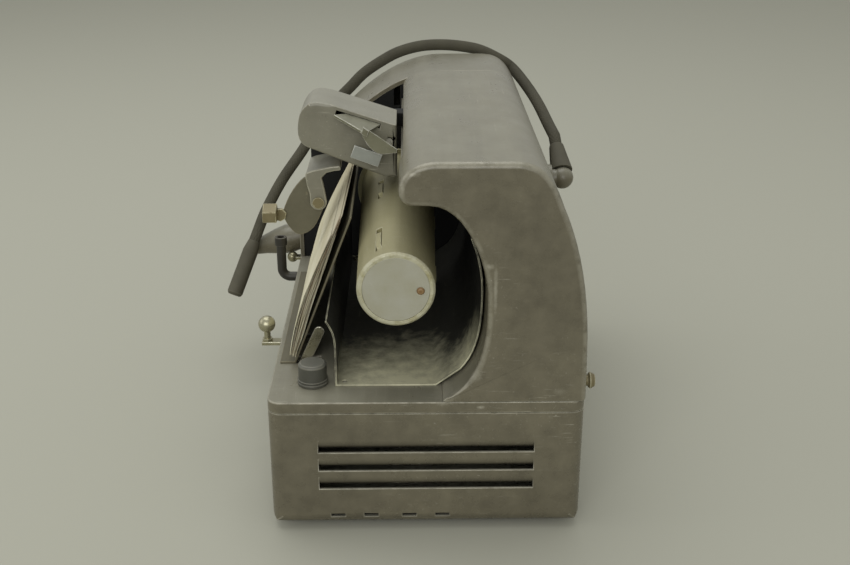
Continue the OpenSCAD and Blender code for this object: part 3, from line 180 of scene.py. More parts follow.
# %% Adding a node
def add(tree, kind, inputs=None, **settings):
    node = tree.nodes.new(kind)
    for key, value in settings.items():
        setattr(node, key, value)
    for key, value in (inputs or {}).items():
        socket = node.inputs[key]
        if isinstance(value, bpy.types.NodeSocket):
            tree.links.new(value, socket)
        else:
            socket.default_value = value
    return node


# %% Arithmetic, mixes, ramps, attributes and noise
def calc(tree, operation, a, b=None, clamp=False):
    values = {0: a} if b is None else {0: a, 1: b}
    node = add(tree, "ShaderNodeMath", values, operation=operation, use_clamp=clamp)
    return node.outputs[0]


def mix_color(tree, factor, a, b):
    return add(tree, "ShaderNodeMix", {0: factor, 6: a, 7: b}, data_type="RGBA").outputs[2]


def ramp(tree, value, low, high):
    node = add(tree, "ShaderNodeMapRange", {"Value": value, "From Min": low, "From Max": high})
    return node.outputs[0]


def attribute(tree, name):
    return add(tree, "ShaderNodeAttribute", attribute_name=name).outputs["Fac"]


def object_place(tree):
    return add(tree, "ShaderNodeTexCoord").outputs["Object"]


def across(tree, operation, a, b):
    return add(tree, "ShaderNodeVectorMath", {0: a, 1: b}, operation=operation).outputs[0]


def noise(tree, at, scale, detail, rough):
    node = add(tree, "ShaderNodeTexNoise", {"Vector": at, "Scale": scale, "Detail": detail,
                                            "Roughness": rough})
    return node.outputs[0]


def group_input(group, name, kind, default):
    socket = group.interface.new_socket(name=name, in_out="INPUT", socket_type=kind)
    socket.default_value = default


# %% [markdown]
# ## Wear, as one shared group
# Paint and plating go first on edges. Each piece carries an attribute named
# edge, 1 on its narrow rounded edges, and one named up, which is how far a
# surface faces the sky and gathers dust. On soft rims the edge attribute also
# paints a pale highlight. The base has a third attribute, which paints shade
# into its louvres. A group mixes them with noise into a colour, a roughness,
# a metallic share and a height, and every hard finish uses it. Its last input
# is a mask for places that a hand or a tool has rubbed, and also for painted
# highlights and painted light at given places.

# %% The wear group's sockets
COLOR, NUMBER, VECTOR = "NodeSocketColor", "NodeSocketFloat", "NodeSocketVector"


def start_wear_group():
    group = bpy.data.node_groups.new("wear", "ShaderNodeTree")
    for name, kind, default in (
        ("Coat", COLOR, (0.1, 0.1, 0.08, 1)), ("Coat Shade", COLOR, (0.06, 0.06, 0.05, 1)),
        ("Bare", COLOR, (0.5, 0.48, 0.4, 1)), ("Dust", COLOR, (0.3, 0.3, 0.27, 1)),
        ("Coat Roughness", NUMBER, 0.5), ("Bare Metallic", NUMBER, 0.7),
        ("Edge Wear", NUMBER, 0.7), ("Chips", NUMBER, 0.3), ("Dustiness", NUMBER, 0.5),
        ("Scratches", NUMBER, 0.2), ("Scuff And Painted Light", NUMBER, 0.0),
    ):
        group_input(group, name, kind, default)
    for name, kind in (("Color", COLOR), ("Roughness", NUMBER), ("Metallic", NUMBER),
                       ("Height", NUMBER)):
        group.interface.new_socket(name=name, in_out="OUTPUT", socket_type=kind)
    return group


# %% The wear group
# Near-black for the painted shade in the base's louvres.
SHADE_BLACK = (0.008, 0.008, 0.007, 1)
DRAWN_ALONG_Y = (1.0, 0.08, 1.0)


def make_wear_group():
    group = start_wear_group()
    given = group.nodes.new("NodeGroupInput").outputs
    result = group.nodes.new("NodeGroupOutput")
    where = object_place(group)

    def grain(scale, detail=6.0, rough=0.6, at=where):
        return noise(group, at, scale, detail, rough)

    def times(a, b, clamp=False):
        return calc(group, "MULTIPLY", a, b, clamp)

    def plus(a, b, clamp=False):
        return calc(group, "ADD", a, b, clamp)

    def most(a, b, clamp=False):
        return calc(group, "MAXIMUM", a, b, clamp)

    def minus(a, b):
        return calc(group, "SUBTRACT", a, b)

    def stretched(turn, scale):
        return add(group, "ShaderNodeMapping", {"Vector": where, "Rotation": turn,
                                                "Scale": scale}).outputs[0]

    # The coat: broad clouds, and streaks along the machine
    broad, mottle, fine = grain(11), grain(60, 7, 0.65), grain(1100, 3)
    streaks = grain(75, 6, 0.65, across(group, "MULTIPLY", where, DRAWN_ALONG_Y))
    tone = plus(times(ramp(group, broad, 0.38, 0.65), 0.4),
                times(ramp(group, streaks, 0.3, 0.7), 0.6))
    coat = mix_color(group, tone, given["Coat Shade"], given["Coat"])
    # Painted shade: the third attribute darkens the base's louvres towards black.
    coat = mix_color(group, attribute(group, "grime"), coat, SHADE_BLACK)

    # Dust: a patchy film on what faces up
    film = plus(times(ramp(group, grain(34, 5, 0.7), 0.35, 0.65), 0.25), 0.45)
    film = plus(times(ramp(group, streaks, 0.25, 0.7), 0.3), film)
    dust = times(times(attribute(group, "up"), given["Dustiness"]), film, True)
    coat = mix_color(group, dust, coat, given["Dust"])

    # Scratches: two crossing sets of thin lines
    turned = stretched((0.3, 0.2, 0.7), (1.0, 14.0, 14.0))
    crossed = stretched((0.5, 0.1, -0.9), (16.0, 1.0, 16.0))
    lines = most(ramp(group, grain(60, 4, 0.6, turned), 0.63, 0.72),
                 ramp(group, grain(45, 4, 0.6, crossed), 0.64, 0.73))
    lines = times(times(lines, given["Scratches"]), ramp(group, broad, 0.4, 0.6))

    # Wear: rubbed edges, chips and the scuffs that are asked for, with the painted
    # highlight of soft rims and the painted light of given spots
    rub_and_rim_light = times(attribute(group, "edge"), ramp(group, grain(130, 8, 0.7), 0.34, 0.56))
    rub_and_rim_light = times(rub_and_rim_light, given["Edge Wear"], True)
    chip = times(ramp(group, grain(260, 5, 0.55), 0.69, 0.715), ramp(group, broad, 0.5, 0.62))
    chip = times(chip, given["Chips"], True)
    worn_and_lit = most(most(rub_and_rim_light, chip), given["Scuff And Painted Light"])
    bare = most(worn_and_lit, lines, True)

    rough = plus(given["Coat Roughness"], times(minus(plus(mottle, streaks), 1.0), 0.3))
    for name, value in (("Color", mix_color(group, bare, coat, given["Bare"])),
                        ("Roughness", plus(rough, times(dust, 0.08), True)),
                        ("Metallic", times(worn_and_lit, given["Bare Metallic"])),
                        ("Height", minus(times(fine, 0.5), bare))):
        group.links.new(value, result.inputs[name])
    return group


wear_group = make_wear_group()
print("wear group:", len(wear_group.nodes), "nodes")

# %% [markdown]
# ## Scuffs and painted light at known places
# Some marks sit where the photograph shows them, such as the rubbed toe of the
# hood, a painted highlight on the hood's lip and painted light in the chip tray.
# A second group makes a soft spot around a point of the model, broken up
# by noise. A spot is its centre and its reach along each axis, both in the
# drawing's millimetres, the fineness of its noise and its strength.

# %% The spot group
def make_spot_group():
    group = bpy.data.node_groups.new("spot", "ShaderNodeTree")
    group_input(group, "Center", VECTOR, (0, 0, 0))
    group_input(group, "Size", VECTOR, (0.01, 0.01, 0.01))
    group_input(group, "Grain", NUMBER, 300.0)
    group_input(group, "Strength", NUMBER, 1.0)
    group.interface.new_socket(name="Mask", in_out="OUTPUT", socket_type=NUMBER)
    given = group.nodes.new("NodeGroupInput").outputs
    where = object_place(group)
    away = across(group, "DIVIDE", across(group, "SUBTRACT", where, given["Center"]), given["Size"])
    far = add(group, "ShaderNodeVectorMath", {0: away}, operation="LENGTH").outputs["Value"]
    grains = noise(group, where, given["Grain"], 6.0, 0.65)
    level = calc(group, "ADD", calc(group, "SUBTRACT", 1.0, far),
                 calc(group, "SUBTRACT", grains, 0.5))
    mask = calc(group, "MULTIPLY", ramp(group, level, 0.15, 0.95), given["Strength"], True)
    group.links.new(mask, group.nodes.new("NodeGroupOutput").inputs["Mask"])
    return group


spot_group = make_spot_group()


def spot_masks(tree, spots):
    whole = None
    for center, size, grain, strength in spots:
        node = add(tree, "ShaderNodeGroup", {"Center": mm(*center), "Size": Vector(size) / 1000,
                   "Grain": grain, "Strength": strength}, node_tree=spot_group)
        mask = node.outputs["Mask"]
        whole = mask if whole is None else calc(tree, "MAXIMUM", whole, mask)
    return whole


print("spot group:", len(spot_group.nodes), "nodes")

# %% [markdown]
# ## A hard finish
# Enamel, plate, resin, rubber and paper differ in their numbers only, so one
# function builds each material from the wear group and a Principled shader. The
# colours are the coat's, its shade in the clouds and what lies bare under it.

# %% A hard finish from the wear group
def new_material(name):
    material = bpy.data.materials.new(name)
    material.use_nodes = True
    return material, material.node_tree, material.node_tree.nodes["Principled BSDF"]


def hard_finish(name, coat, shade, bare, dust=(0.33, 0.33, 0.3), rough=0.5, bare_metal=0.7,
                edge_wear=0.7, chips=0.3, dustiness=0.5, scratches=0.1, metallic=None,
                bump=0.00012, specular=0.5, spots=()):
    material, tree, shader = new_material(name)
    wear = add(tree, "ShaderNodeGroup", {
        "Coat": (*coat, 1), "Coat Shade": (*shade, 1), "Bare": (*bare, 1), "Dust": (*dust, 1),
        "Coat Roughness": rough, "Bare Metallic": bare_metal, "Edge Wear": edge_wear,
        "Chips": chips, "Dustiness": dustiness, "Scratches": scratches}, node_tree=wear_group)
    if spots:
        tree.links.new(spot_masks(tree, spots), wear.inputs["Scuff And Painted Light"])
    tree.links.new(wear.outputs["Color"], shader.inputs["Base Color"])
    tree.links.new(wear.outputs["Roughness"], shader.inputs["Roughness"])
    if metallic is None:
        tree.links.new(wear.outputs["Metallic"], shader.inputs["Metallic"])
    else:
        shader.inputs["Metallic"].default_value = metallic
    shader.inputs["Specular IOR Level"].default_value = specular
    bumps = add(tree, "ShaderNodeBump", {"Height": wear.outputs["Height"], "Distance": bump,
                                         "Strength": 1.0})
    tree.links.new(bumps.outputs[0], shader.inputs["Normal"])
    return material


# %% [markdown]
# ## The enamels
# The castings and the base wear a grey-brown enamel that has gone thin. Their
# top faces look paler, with a greyer film of dust and fine scratches. Inside
# the chamber, the shadow enamel is painted shade. The chip tray's walls are
# painted near-black shade, and its floor is pale, partly with wax dust and partly
# with painted light where light reaches it.

# %% Enamel of the castings and the base
enamel = hard_finish(
    "enamel", (0.178, 0.16, 0.108), (0.1, 0.089, 0.06), (0.42, 0.4, 0.32),
    dust=(0.32, 0.315, 0.25), rough=0.29, bare_metal=0.3, edge_wear=0.6, chips=0.35,
    dustiness=0.7, scratches=0.6,
    # The first two spots paint a highlight on the upper corner of the hood's lip, partly worn
    # paint; the others are rubbed places, nicks and a dent.
    spots=(((-12.5, 1, 207), (2.2, 5, 6), 500, 0.8), ((-7, 1, 214.5), (6, 5, 2), 500, 0.7),
           ((37, 0, 150), (1.6, 3, 20), 600, 0.6), ((33, 0, 163.5), (4, 3, 2.5), 700, 0.6),
           ((12, 1, 93), (9, 8, 12), 600, 1.0), ((22, 1, 99), (12, 5, 5), 600, 0.7),
           ((10, 8, 84), (8, 18, 5), 500, 0.9), ((30.2, 0, 79.7), (3.2, 3, 1.4), 900, 0.9),
           ((74, 0, 89), (5, 4, 3), 700, 0.2)))
housing_enamel = hard_finish(
    "housing_enamel", (0.175, 0.157, 0.104), (0.12, 0.106, 0.07), (0.42, 0.4, 0.32),
    dust=(0.3, 0.3, 0.245), rough=0.3, bare_metal=0.3, edge_wear=0.6, chips=0.35, dustiness=0.65,
    scratches=0.5)
head_enamel = hard_finish(
    "head_enamel", (0.235, 0.225, 0.17), (0.165, 0.156, 0.116), (0.5, 0.48, 0.38),
    dust=(0.36, 0.355, 0.29), rough=0.32, bare_metal=0.3, edge_wear=0.6, chips=0.5,
    dustiness=0.65, scratches=0.6)
print("outer enamels ready")

# %% Enamel inside the chamber
# The chip tray: its near-black coat is painted shade.
tray_painted_shade_light_and_dust = hard_finish(
    "tray_painted_shade_light_and_dust", (0.03, 0.03, 0.026), (0.012, 0.012, 0.011), (0.62, 0.6, 0.42),
    dust=(0.07, 0.07, 0.056), rough=0.42, bare_metal=0.0, edge_wear=0.8, chips=0.15,
    dustiness=0.8, scratches=0.25,
    # Pale spots: the front of the floor, partly wax dust and partly painted light that fades deeper
    # in; painted light where the right wall curves up; a thin pale line high on the right wall.
    spots=(((-10, 26, 84), (95, 80, 12), 140, 1.0), ((-26, 26, 84), (34, 6, 4), 120, 0.8),
           ((24, 22, 98), (30, 44, 36), 220, 1.0), ((37, 20, 130), (3, 10, 30), 300, 0.35)))
dark_enamel = hard_finish(
    "dark_enamel", (0.034, 0.031, 0.023), (0.018, 0.016, 0.012), (0.3, 0.28, 0.22),
    dust=(0.11, 0.104, 0.078), rough=0.45, edge_wear=0.4, chips=0.2, dustiness=0.5)
shadow_enamel = hard_finish(
    "shadow_enamel", (0.012, 0.012, 0.011), (0.006, 0.006, 0.006), (0.08, 0.078, 0.065),
    dust=(0.03, 0.03, 0.027), rough=0.6, edge_wear=0.3, chips=0.1, dustiness=0.3, specular=0.25)
marker_enamel = hard_finish(
    "marker_enamel", (0.135, 0.125, 0.078), (0.085, 0.076, 0.045), (0.32, 0.28, 0.18),
    dust=(0.16, 0.15, 0.11), rough=0.5, edge_wear=0.7, chips=0.3, dustiness=0.2)
print("inner enamels ready")

# %% [markdown]
# ## Metals
# The keys are nickel plate gone yellow, the mandrel is turned metal with a dull
# greenish skin, and its free end and ribs are rubbed brighter.

# %% Metals
nickel = hard_finish(
    "nickel", (0.52, 0.5, 0.36), (0.2, 0.18, 0.1), (0.75, 0.74, 0.62), dust=(0.4, 0.39, 0.29),
    rough=0.27, metallic=0.75, edge_wear=0.7, chips=0.4, dustiness=0.3)
old_plate = hard_finish(
    "old_plate", (0.24, 0.205, 0.11), (0.14, 0.115, 0.055), (0.55, 0.52, 0.36),
    dust=(0.26, 0.23, 0.14), rough=0.45, metallic=0.35, edge_wear=0.8, chips=0.5, dustiness=0.4)
key_plate = hard_finish(
    "key_plate", (0.25, 0.245, 0.17), (0.14, 0.135, 0.085), (0.75, 0.74, 0.66),
    dust=(0.36, 0.36, 0.29), rough=0.36, metallic=0.3, edge_wear=0.9, chips=0.5, dustiness=0.6,
    scratches=0.3)
tab_plate = hard_finish(
    "tab_plate", (0.36, 0.375, 0.34), (0.25, 0.26, 0.235), (0.72, 0.72, 0.66),
    dust=(0.45, 0.45, 0.4), rough=0.4, metallic=0.3, edge_wear=1.0, chips=0.5, dustiness=0.2,
    scratches=0.3)
steel = hard_finish(
    "steel", (0.5, 0.49, 0.45), (0.36, 0.35, 0.31), (0.65, 0.64, 0.58), dust=(0.3, 0.29, 0.25),
    rough=0.4, metallic=0.9, edge_wear=0.5, chips=0.3, dustiness=0.3)
brass = hard_finish(
    "brass", (0.56, 0.42, 0.2), (0.36, 0.26, 0.12), (0.75, 0.6, 0.32), dust=(0.25, 0.2, 0.12),
    rough=0.38, metallic=0.9, edge_wear=0.6, chips=0.2, dustiness=0.3)
drum_metal = hard_finish(
    "drum_metal", (0.42, 0.39, 0.22), (0.29, 0.265, 0.14), (0.56, 0.55, 0.42),
    dust=(0.48, 0.45, 0.29), rough=0.42, metallic=0.35, edge_wear=0.75, chips=0.4, dustiness=0.5,
    scratches=0.35, bump=0.0003)
cap_metal = hard_finish(
    "cap_metal", (0.43, 0.425, 0.36), (0.36, 0.345, 0.24), (0.6, 0.59, 0.5),
    dust=(0.45, 0.44, 0.38), rough=0.5, metallic=0.3, edge_wear=0.6, chips=0.2, dustiness=0.2)
print("metals ready")

# %% [markdown]
# ## Rubber, resin, mica and paper
# Rubber and resin wear to a paler shade of themselves, and no metal shows under
# them. The paper has the same clouds and one brown stain near its top.

# %% Rubber, resin, mica and paper
black_rubber = hard_finish(
    "black_rubber", (0.035, 0.034, 0.028), (0.02, 0.02, 0.017), (0.1, 0.095, 0.08),
    dust=(0.1, 0.1, 0.085), rough=0.62, bare_metal=0.0, edge_wear=0.5, chips=0.3, dustiness=0.5,
    bump=0.0002)
worn_rubber = hard_finish(
    "worn_rubber", (0.105, 0.097, 0.068), (0.06, 0.055, 0.038), (0.17, 0.16, 0.12),
    dust=(0.15, 0.145, 0.11), rough=0.7, bare_metal=0.0, edge_wear=0.4, chips=0.5, dustiness=0.4,
    bump=0.0003, specular=0.3)
knob_resin = hard_finish(
    "knob_resin", (0.08, 0.08, 0.064), (0.05, 0.05, 0.04), (0.2, 0.19, 0.15),
    dust=(0.17, 0.17, 0.14), rough=0.4, bare_metal=0.0, edge_wear=0.6, chips=0.2, dustiness=0.7)
brown_resin = hard_finish(
    "brown_resin", (0.26, 0.15, 0.055), (0.13, 0.07, 0.025), (0.42, 0.29, 0.14),
    dust=(0.25, 0.2, 0.14), rough=0.35, bare_metal=0.0, edge_wear=0.5, chips=0.2, dustiness=0.3)
mica = hard_finish(
    "mica", (0.42, 0.31, 0.18), (0.3, 0.21, 0.12), (0.5, 0.4, 0.25), rough=0.3, bare_metal=0.0,
    edge_wear=0.1, chips=0.1, dustiness=0.1)
slip_paper = hard_finish(
    "slip_paper", (0.84, 0.81, 0.65), (0.6, 0.55, 0.36), (0.25, 0.15, 0.07),
    dust=(0.6, 0.56, 0.4), rough=0.85, bare_metal=0.0, edge_wear=0.3, chips=0.35, dustiness=0.2,
    scratches=0.5, specular=0.2,
    spots=(((-52, 50, 172), (9, 10, 6), 420, 0.9),))
print("rubber, resin, mica and paper ready")

# %% [markdown]
# ## Rounding the edges of a solid
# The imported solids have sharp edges, and a real casting never does. A copy of
# the solid's mesh is merged and cleaned of its triangles, its outward edges are
# beveled, and the new faces are marked as edge. The solid itself stays as it is.
# Weighted normals then keep the flat faces flat beside their rounds.

# %% Finding and rounding edges
SMOOTH_ANGLE = math.radians(32)
BEND_ANGLE = math.radians(30)
FLAT_ANGLE = math.radians(0.6)
SAME_POINT = 1e-6
SAME_LEVEL = 1e-5
SAME_SIDE = 0.85
WIDE_SEGMENTS = 5


def sharp_edges(bm, chosen=None):
    found = []
    for edge in bm.edges:
        if len(edge.link_faces) != 2 or not edge.is_convex:
            continue
        if edge.calc_face_angle(0) < BEND_ANGLE:
            continue
        if chosen is None or chosen(edge):
            found.append(edge)
    return found


def mark(face, layer):
    for loop in face.loops:
        loop[layer] = 1.0


def round_edges(bm, edges, width, segments, marked=None):
    made = bmesh.ops.bevel(bm, geom=edges, offset=width, offset_type="OFFSET", segments=segments,
                           profile=0.5, affect="EDGES", clamp_overlap=False, miter_outer="ARC",
                           loop_slide=True)
    for face in made["faces"]:
        if marked is not None and face.is_valid:
            mark(face, marked)


# %% Dust faces up
def write_up(bm, layer):
    for face in bm.faces:
        for loop in face.loops:
            total = Vector((0, 0, 0))
            for other in loop.vert.link_faces:
                if other.normal.dot(face.normal) > SAME_SIDE:
                    total += other.normal * other.calc_area()
            total = total.normalized() if total.length > 0 else face.normal
            loop[layer] = max(0.0, total.z)


# %% Finishing a mesh
def finish_mesh(bm, name):
    mesh = bpy.data.meshes.new(name)
    write_up(bm, bm.loops.layers.float["up"])
    bm.to_mesh(mesh)
    bm.free()
    mesh.polygons.foreach_set("use_smooth", [True] * len(mesh.polygons))
    mesh.set_sharp_from_angle(angle=SMOOTH_ANGLE)
    helper = bpy.data.objects.new(name + ".helper", mesh)
    scene_objects.link(helper)
    helper.modifiers.new("even", "WEIGHTED_NORMAL").keep_sharp = True
    graph = bpy.context.evaluated_depsgraph_get()
    even = bpy.data.meshes.new_from_object(helper.evaluated_get(graph), depsgraph=graph,
                                           preserve_all_data_layers=True)
    bpy.data.objects.remove(helper)
    even.name = name
    return even


# %% [markdown]
# ## Soft rims
# A casting's rim is a wide, even round that a bevel of many short edges can't
# keep clean. The flat end of the casting is taken off, its border is pulled
# back, and rings of faces lead from the wall round to a smaller flat face. The
# radius may change along the border, so it dies out at the hood's thin toe. The
# middle of the round is marked as rubbed most, which is partly wear and partly a
# painted highlight along the rim.

# %% A soft rim around a flat end
RIM_STEPS = 6
# How far the rim's middle is marked as worn: partly wear, partly a painted pale highlight.
RIM_RUB_AND_HIGHLIGHT = 0.75
FACES_END = 0.999
SHARPEST_CORNER = 0.6


def soft_rim(bm, y, reach, marked):
    flat = max((f for f in bm.faces if abs(f.calc_center_median().y - y) < SAME_LEVEL
                and abs(f.normal.y) > FACES_END), key=lambda f: f.calc_area())
    facing = flat.normal.copy()
    border = list(flat.verts)
    places = [v.co.copy() for v in border]
    foot = min(p.z for p in places)
    count = len(border)
    inward = []
    for i in range(count):
        normals = []
        for a, b in ((places[i - 1], places[i]), (places[i], places[(i + 1) % count])):
            if max(a.z, b.z) - foot > SAME_LEVEL:
                normals.append(facing.cross((b - a).normalized()))
        if len(normals) == 2:
            spread = max(1 + normals[0].dot(normals[1]), SHARPEST_CORNER)
            normals = [(normals[0] + normals[1]) / spread]
        inward.append(normals[0])
    sizes = [reach(p) for p in places]
    bmesh.ops.delete(bm, geom=[flat], context="FACES_ONLY")
    for vert, size in zip(border, sizes):
        vert.co -= facing * size
    ring = border
    rubbed = dict.fromkeys(border, 0.0)
    for step in range(1, RIM_STEPS + 1):
        turn = math.pi / 2 * step / RIM_STEPS
        aside, back = 1 - math.cos(turn), 1 - math.sin(turn)
        inner = [bm.verts.new(p + n * s * aside - facing * s * back)
                 for p, n, s in zip(places, inward, sizes)]
        # The middle rings are marked as worn, partly wear and partly a painted highlight along the
        # rim.
        rubbed.update(dict.fromkeys(inner, RIM_RUB_AND_HIGHLIGHT * math.sin(2 * turn)))
        for i in range(count):
            j = (i + 1) % count
            face = bm.faces.new((ring[i], ring[j], inner[j], inner[i]))
            for loop in face.loops:
                loop[marked] = rubbed[loop.vert]
        ring = inner
    bm.faces.new(ring)
    bmesh.ops.recalc_face_normals(bm, faces=bm.faces)


# %% A rounded copy of a solid
# Widths are in millimetres. chosen picks the edges to round, rim_y and reach
# ask for a soft rim, wide picks edges for a wide round without wear, rubbed
# picks worn faces, and the last argument gives the painted shade of a point.
def rounded_copy(node, width=0.4, segments=2, chosen=None, rim_y=None, reach=None, wide=None,
                 wide_width=None, rubbed=None, grime=None):
    bm = bmesh.new()
    bm.from_mesh(nodes[node].data)
    bmesh.ops.remove_doubles(bm, verts=bm.verts, dist=SAME_POINT)
    bmesh.ops.dissolve_limit(bm, angle_limit=FLAT_ANGLE, verts=bm.verts, edges=bm.edges)
    marked = bm.loops.layers.float.new("edge")
    bm.loops.layers.float.new("up")
    if rim_y is not None:
        soft_rim(bm, rim_y, reach, marked)
    if wide is not None:
        round_edges(bm, sharp_edges(bm, wide), wide_width / 1000, WIDE_SEGMENTS)
    round_edges(bm, sharp_edges(bm, chosen), width / 1000, segments, marked)
    for face in bm.faces:
        if rubbed is not None and rubbed(face):
            mark(face, marked)
    if grime is not None:
        # Painted shade: each point gets a darkness that the wear group mixes towards black.
        layer = bm.loops.layers.float.new("grime")
        for face in bm.faces:
            for loop in face.loops:
                loop[layer] = grime(loop.vert.co)
    return finish_mesh(bm, node)


def dress(node, material, **how):
    return place(rounded_copy(node, **how), material, node)


# %% [markdown]
# ## Base and deck
# The base is a pressed box with louvres, and the deck is a casting that laps
# over it. Their rounded and worn edges meet in a thin pale line. The deck is
# rounded on its top and at the seam only, because its side has slots for the
# levers. Painted shade deepens from the base's end faces into its pressed louvres.

# %% Base and deck
LOUVRE_X = (mm(-62, 0, 0).x, mm(62, 0, 0).x)
BASE_ENDS = (mm(0, 0, 0).y, mm(0, 295, 0).y)
SHADE_DEPTH = 0.0026
DECK_LEVELS = (mm(0, 0, 83).z, mm(0, 0, 76).z)


# Painted shade: 0 on the base's end faces, rising to 1 a little way behind them, between the
# louvres' ends.
def louvre_shade(p):
    if not LOUVRE_X[0] < p.x < LOUVRE_X[1]:
        return 0.0
    return min(max(min(p.y - BASE_ENDS[0], BASE_ENDS[1] - p.y) / SHADE_DEPTH, 0.0), 1.0)


def level_edge(edge):
    return any(all(abs(v.co.z - z) < SAME_LEVEL for v in edge.verts) for z in DECK_LEVELS)


dress("base_shell", enamel, width=0.5, grime=louvre_shade)
dress("deck_casting", enamel, width=0.8, segments=3, chosen=level_edge)
dress("base_screws", steel, width=0.3)
dress("power_inlet", knob_resin, width=0.3)
print("base and deck in place")

# %% [markdown]
# ## Hood and drive-end housing
# The hood's rim at the loading end is a soft round in the same enamel. At the
# toe, where the casting runs out thin on the deck, the round shrinks away.

# %% Hood and housing
TOE_X, TOE_Z = mm(30, 0, 0).x, mm(0, 0, 86).z
TOE_RUN = 0.014
TOE_RIM, HOOD_RIM, HOUSING_RIM = 0.0005, 0.0034, 0.004


def hood_reach(p):
    if p.x > TOE_X:
        return HOOD_RIM
    return TOE_RIM + (HOOD_RIM - TOE_RIM) * min(max((p.z - TOE_Z) / TOE_RUN, 0.0), 1.0)


def housing_reach(p):
    return HOUSING_RIM


dress("hood_cover", enamel, width=0.5, rim_y=BASE_ENDS[0], reach=hood_reach)
dress("end_housing", housing_enamel, width=0.5, rim_y=BASE_ENDS[1], reach=housing_reach)
dress("bearing_plate", shadow_enamel, width=0.4)
dress("chip_tray", tray_painted_shade_light_and_dust, width=0.3)
dress("slip_board", marker_enamel, width=0.3)
print("hood, housing and tray in place")

# %% [markdown]
# ## The recorder head
# The head is a small casting with soft shoulders all round its near face. The
# two slots for its keys keep their narrow edges. A slot is a corner in the
# drawing, its lean, and its reach along and across that lean.

# %% Recorder head
HEAD_Y = 105
HEAD_NEAR_Y = mm(0, HEAD_Y, 0).y
LIP_X = -14.4
KEY_SLOT = (mm(LIP_X - 32.4, HEAD_Y, 220), math.radians(17.4), (-0.009, 0.0235),
            (-0.006, 0.0042))
TAB_SLOT = (mm(LIP_X - 27.85, HEAD_Y, 200.4), math.radians(20.5), (-0.003, 0.022),
            (-0.004, 0.0118))


def beside(slot, at):
    corner, turn, (u0, u1), (v0, v1) = slot
    x, z = at.x - corner.x, at.z - corner.z
    u, v = x * math.cos(turn) - z * math.sin(turn), x * math.sin(turn) + z * math.cos(turn)
    return u0 < u < u1 and v0 < v < v1


def near_edge(edge):
    at = (edge.verts[0].co + edge.verts[1].co) / 2
    if beside(KEY_SLOT, at) or beside(TAB_SLOT, at):
        return False
    return all(abs(v.co.y - HEAD_NEAR_Y) < SAME_LEVEL for v in edge.verts)


dress("head_cover", head_enamel, width=0.4, wide=near_edge, wide_width=2.2)
dress("carriage_frame", shadow_enamel, width=0.8, segments=3)
dress("front_bracket", head_enamel, width=0.8, segments=3)
dress("sound_box", steel, width=0.3)
print("head and carriage in place")

# %% [markdown]
# ## Keys and marker
# Two plated keys stand in the head's slots, and the marker hangs from the
# carriage over the slips. Their plate has yellowed and its edges are bright, so
# each has its own numbers and they share the rounding.

# %% Keys and marker
dress("shift_key", key_plate, width=0.25)
dress("voice_tab", tab_plate, width=0.25)
dress("marker_plate", marker_enamel, width=0.3)
dress("marker_key", old_plate, width=0.5)
dress("marker_screw", old_plate, width=0.3)
print("keys and marker in place")

# %% [markdown]
# ## The mandrel
# The drum's free end is rough and bright where cylinders are pushed on. All
# faces that look out of its mouth are marked as edge, so the wear group rubs
# them without a mask of their own.

# %% Mandrel
MOUTH_Y = mm(0, 1.4, 0).y
LOOKS_OUT = -0.2


def at_mouth(face):
    return face.calc_center_median().y < MOUTH_Y and face.normal.y < LOOKS_OUT


dress("mandrel_drum", drum_metal, width=0.3, rubbed=at_mouth)
dress("mandrel_cap", cap_metal, width=0.3)
dress("mandrel_pin", brown_resin, width=0.5, segments=3)
dress("rib_springs", drum_metal, width=0.2)
print("mandrel in place")

# %% [markdown]
# ## Controls, rest and fittings
# Knobs, levers and the tube's rest keep their solids' shapes, with small
# rounds in place of sharp edges. The boot and the sleeve are kept by name,
# because the speaking tube runs between them.

# %% Controls
dress("deck_knob", knob_resin, width=0.5, segments=3)
dress("release_lever", nickel, width=0.5, segments=3)
dress("near_ball_lever", nickel, width=0.3)
dress("far_ball_lever", nickel, width=0.3)
dress("bent_hook", dark_enamel, width=0.3)
dress("tube_rest", housing_enamel, width=0.8, segments=3)
dress("thumb_screw", old_plate, width=0.4)
dress("tube_elbow", housing_enamel, width=0.4)
boot = dress("tube_boot", worn_rubber, width=0.5)
sleeve = dress("tube_sleeve", worn_rubber, width=0.5)
print("controls in place")

# %% [markdown]
# ## Working parts inside
# Gears, shafts and the motor hardly show, so their solids stay as they are and
# only take a finish.

# %% The remaining solids
plain = {
    "rubber_feet": black_rubber, "near_plate": shadow_enamel, "mandrel_shaft": steel,
    "mandrel_bushes": brass, "mandrel_gear": brass, "mandrel_pulley": dark_enamel,
    "idler_gear": brass, "idler_stud": steel, "feed_bushes": brass,
    "feed_gear": brass, "guide_rod": steel, "drive_belt": black_rubber, "motor_case": dark_enamel,
    "motor_bells": steel, "motor_shaft": steel, "motor_pulley": steel, "governor": brass,
    "motor_cradle": steel, "half_nut": brass, "hinge_pin": steel, "diaphragm": mica,
    "stylus_arm": nickel, "speed_switch": knob_resin, "lever_studs": steel,
}
for name, material in plain.items():
    data = nodes[name].data
    data.materials.clear()
    data.materials.append(material)
print("solids with a finish only:", len(plain))

# %% [markdown]
# ## Trees of Geometry Nodes
# What repeats is made by Geometry Nodes: the slips of the pad, the thread of
# the feed screw and the slotted heads of the screws. One helper starts a tree
# with named inputs, one closes it, and one runs it and returns a plain mesh. The
# modifier goes once it has run, so nothing is left to work out at render time.

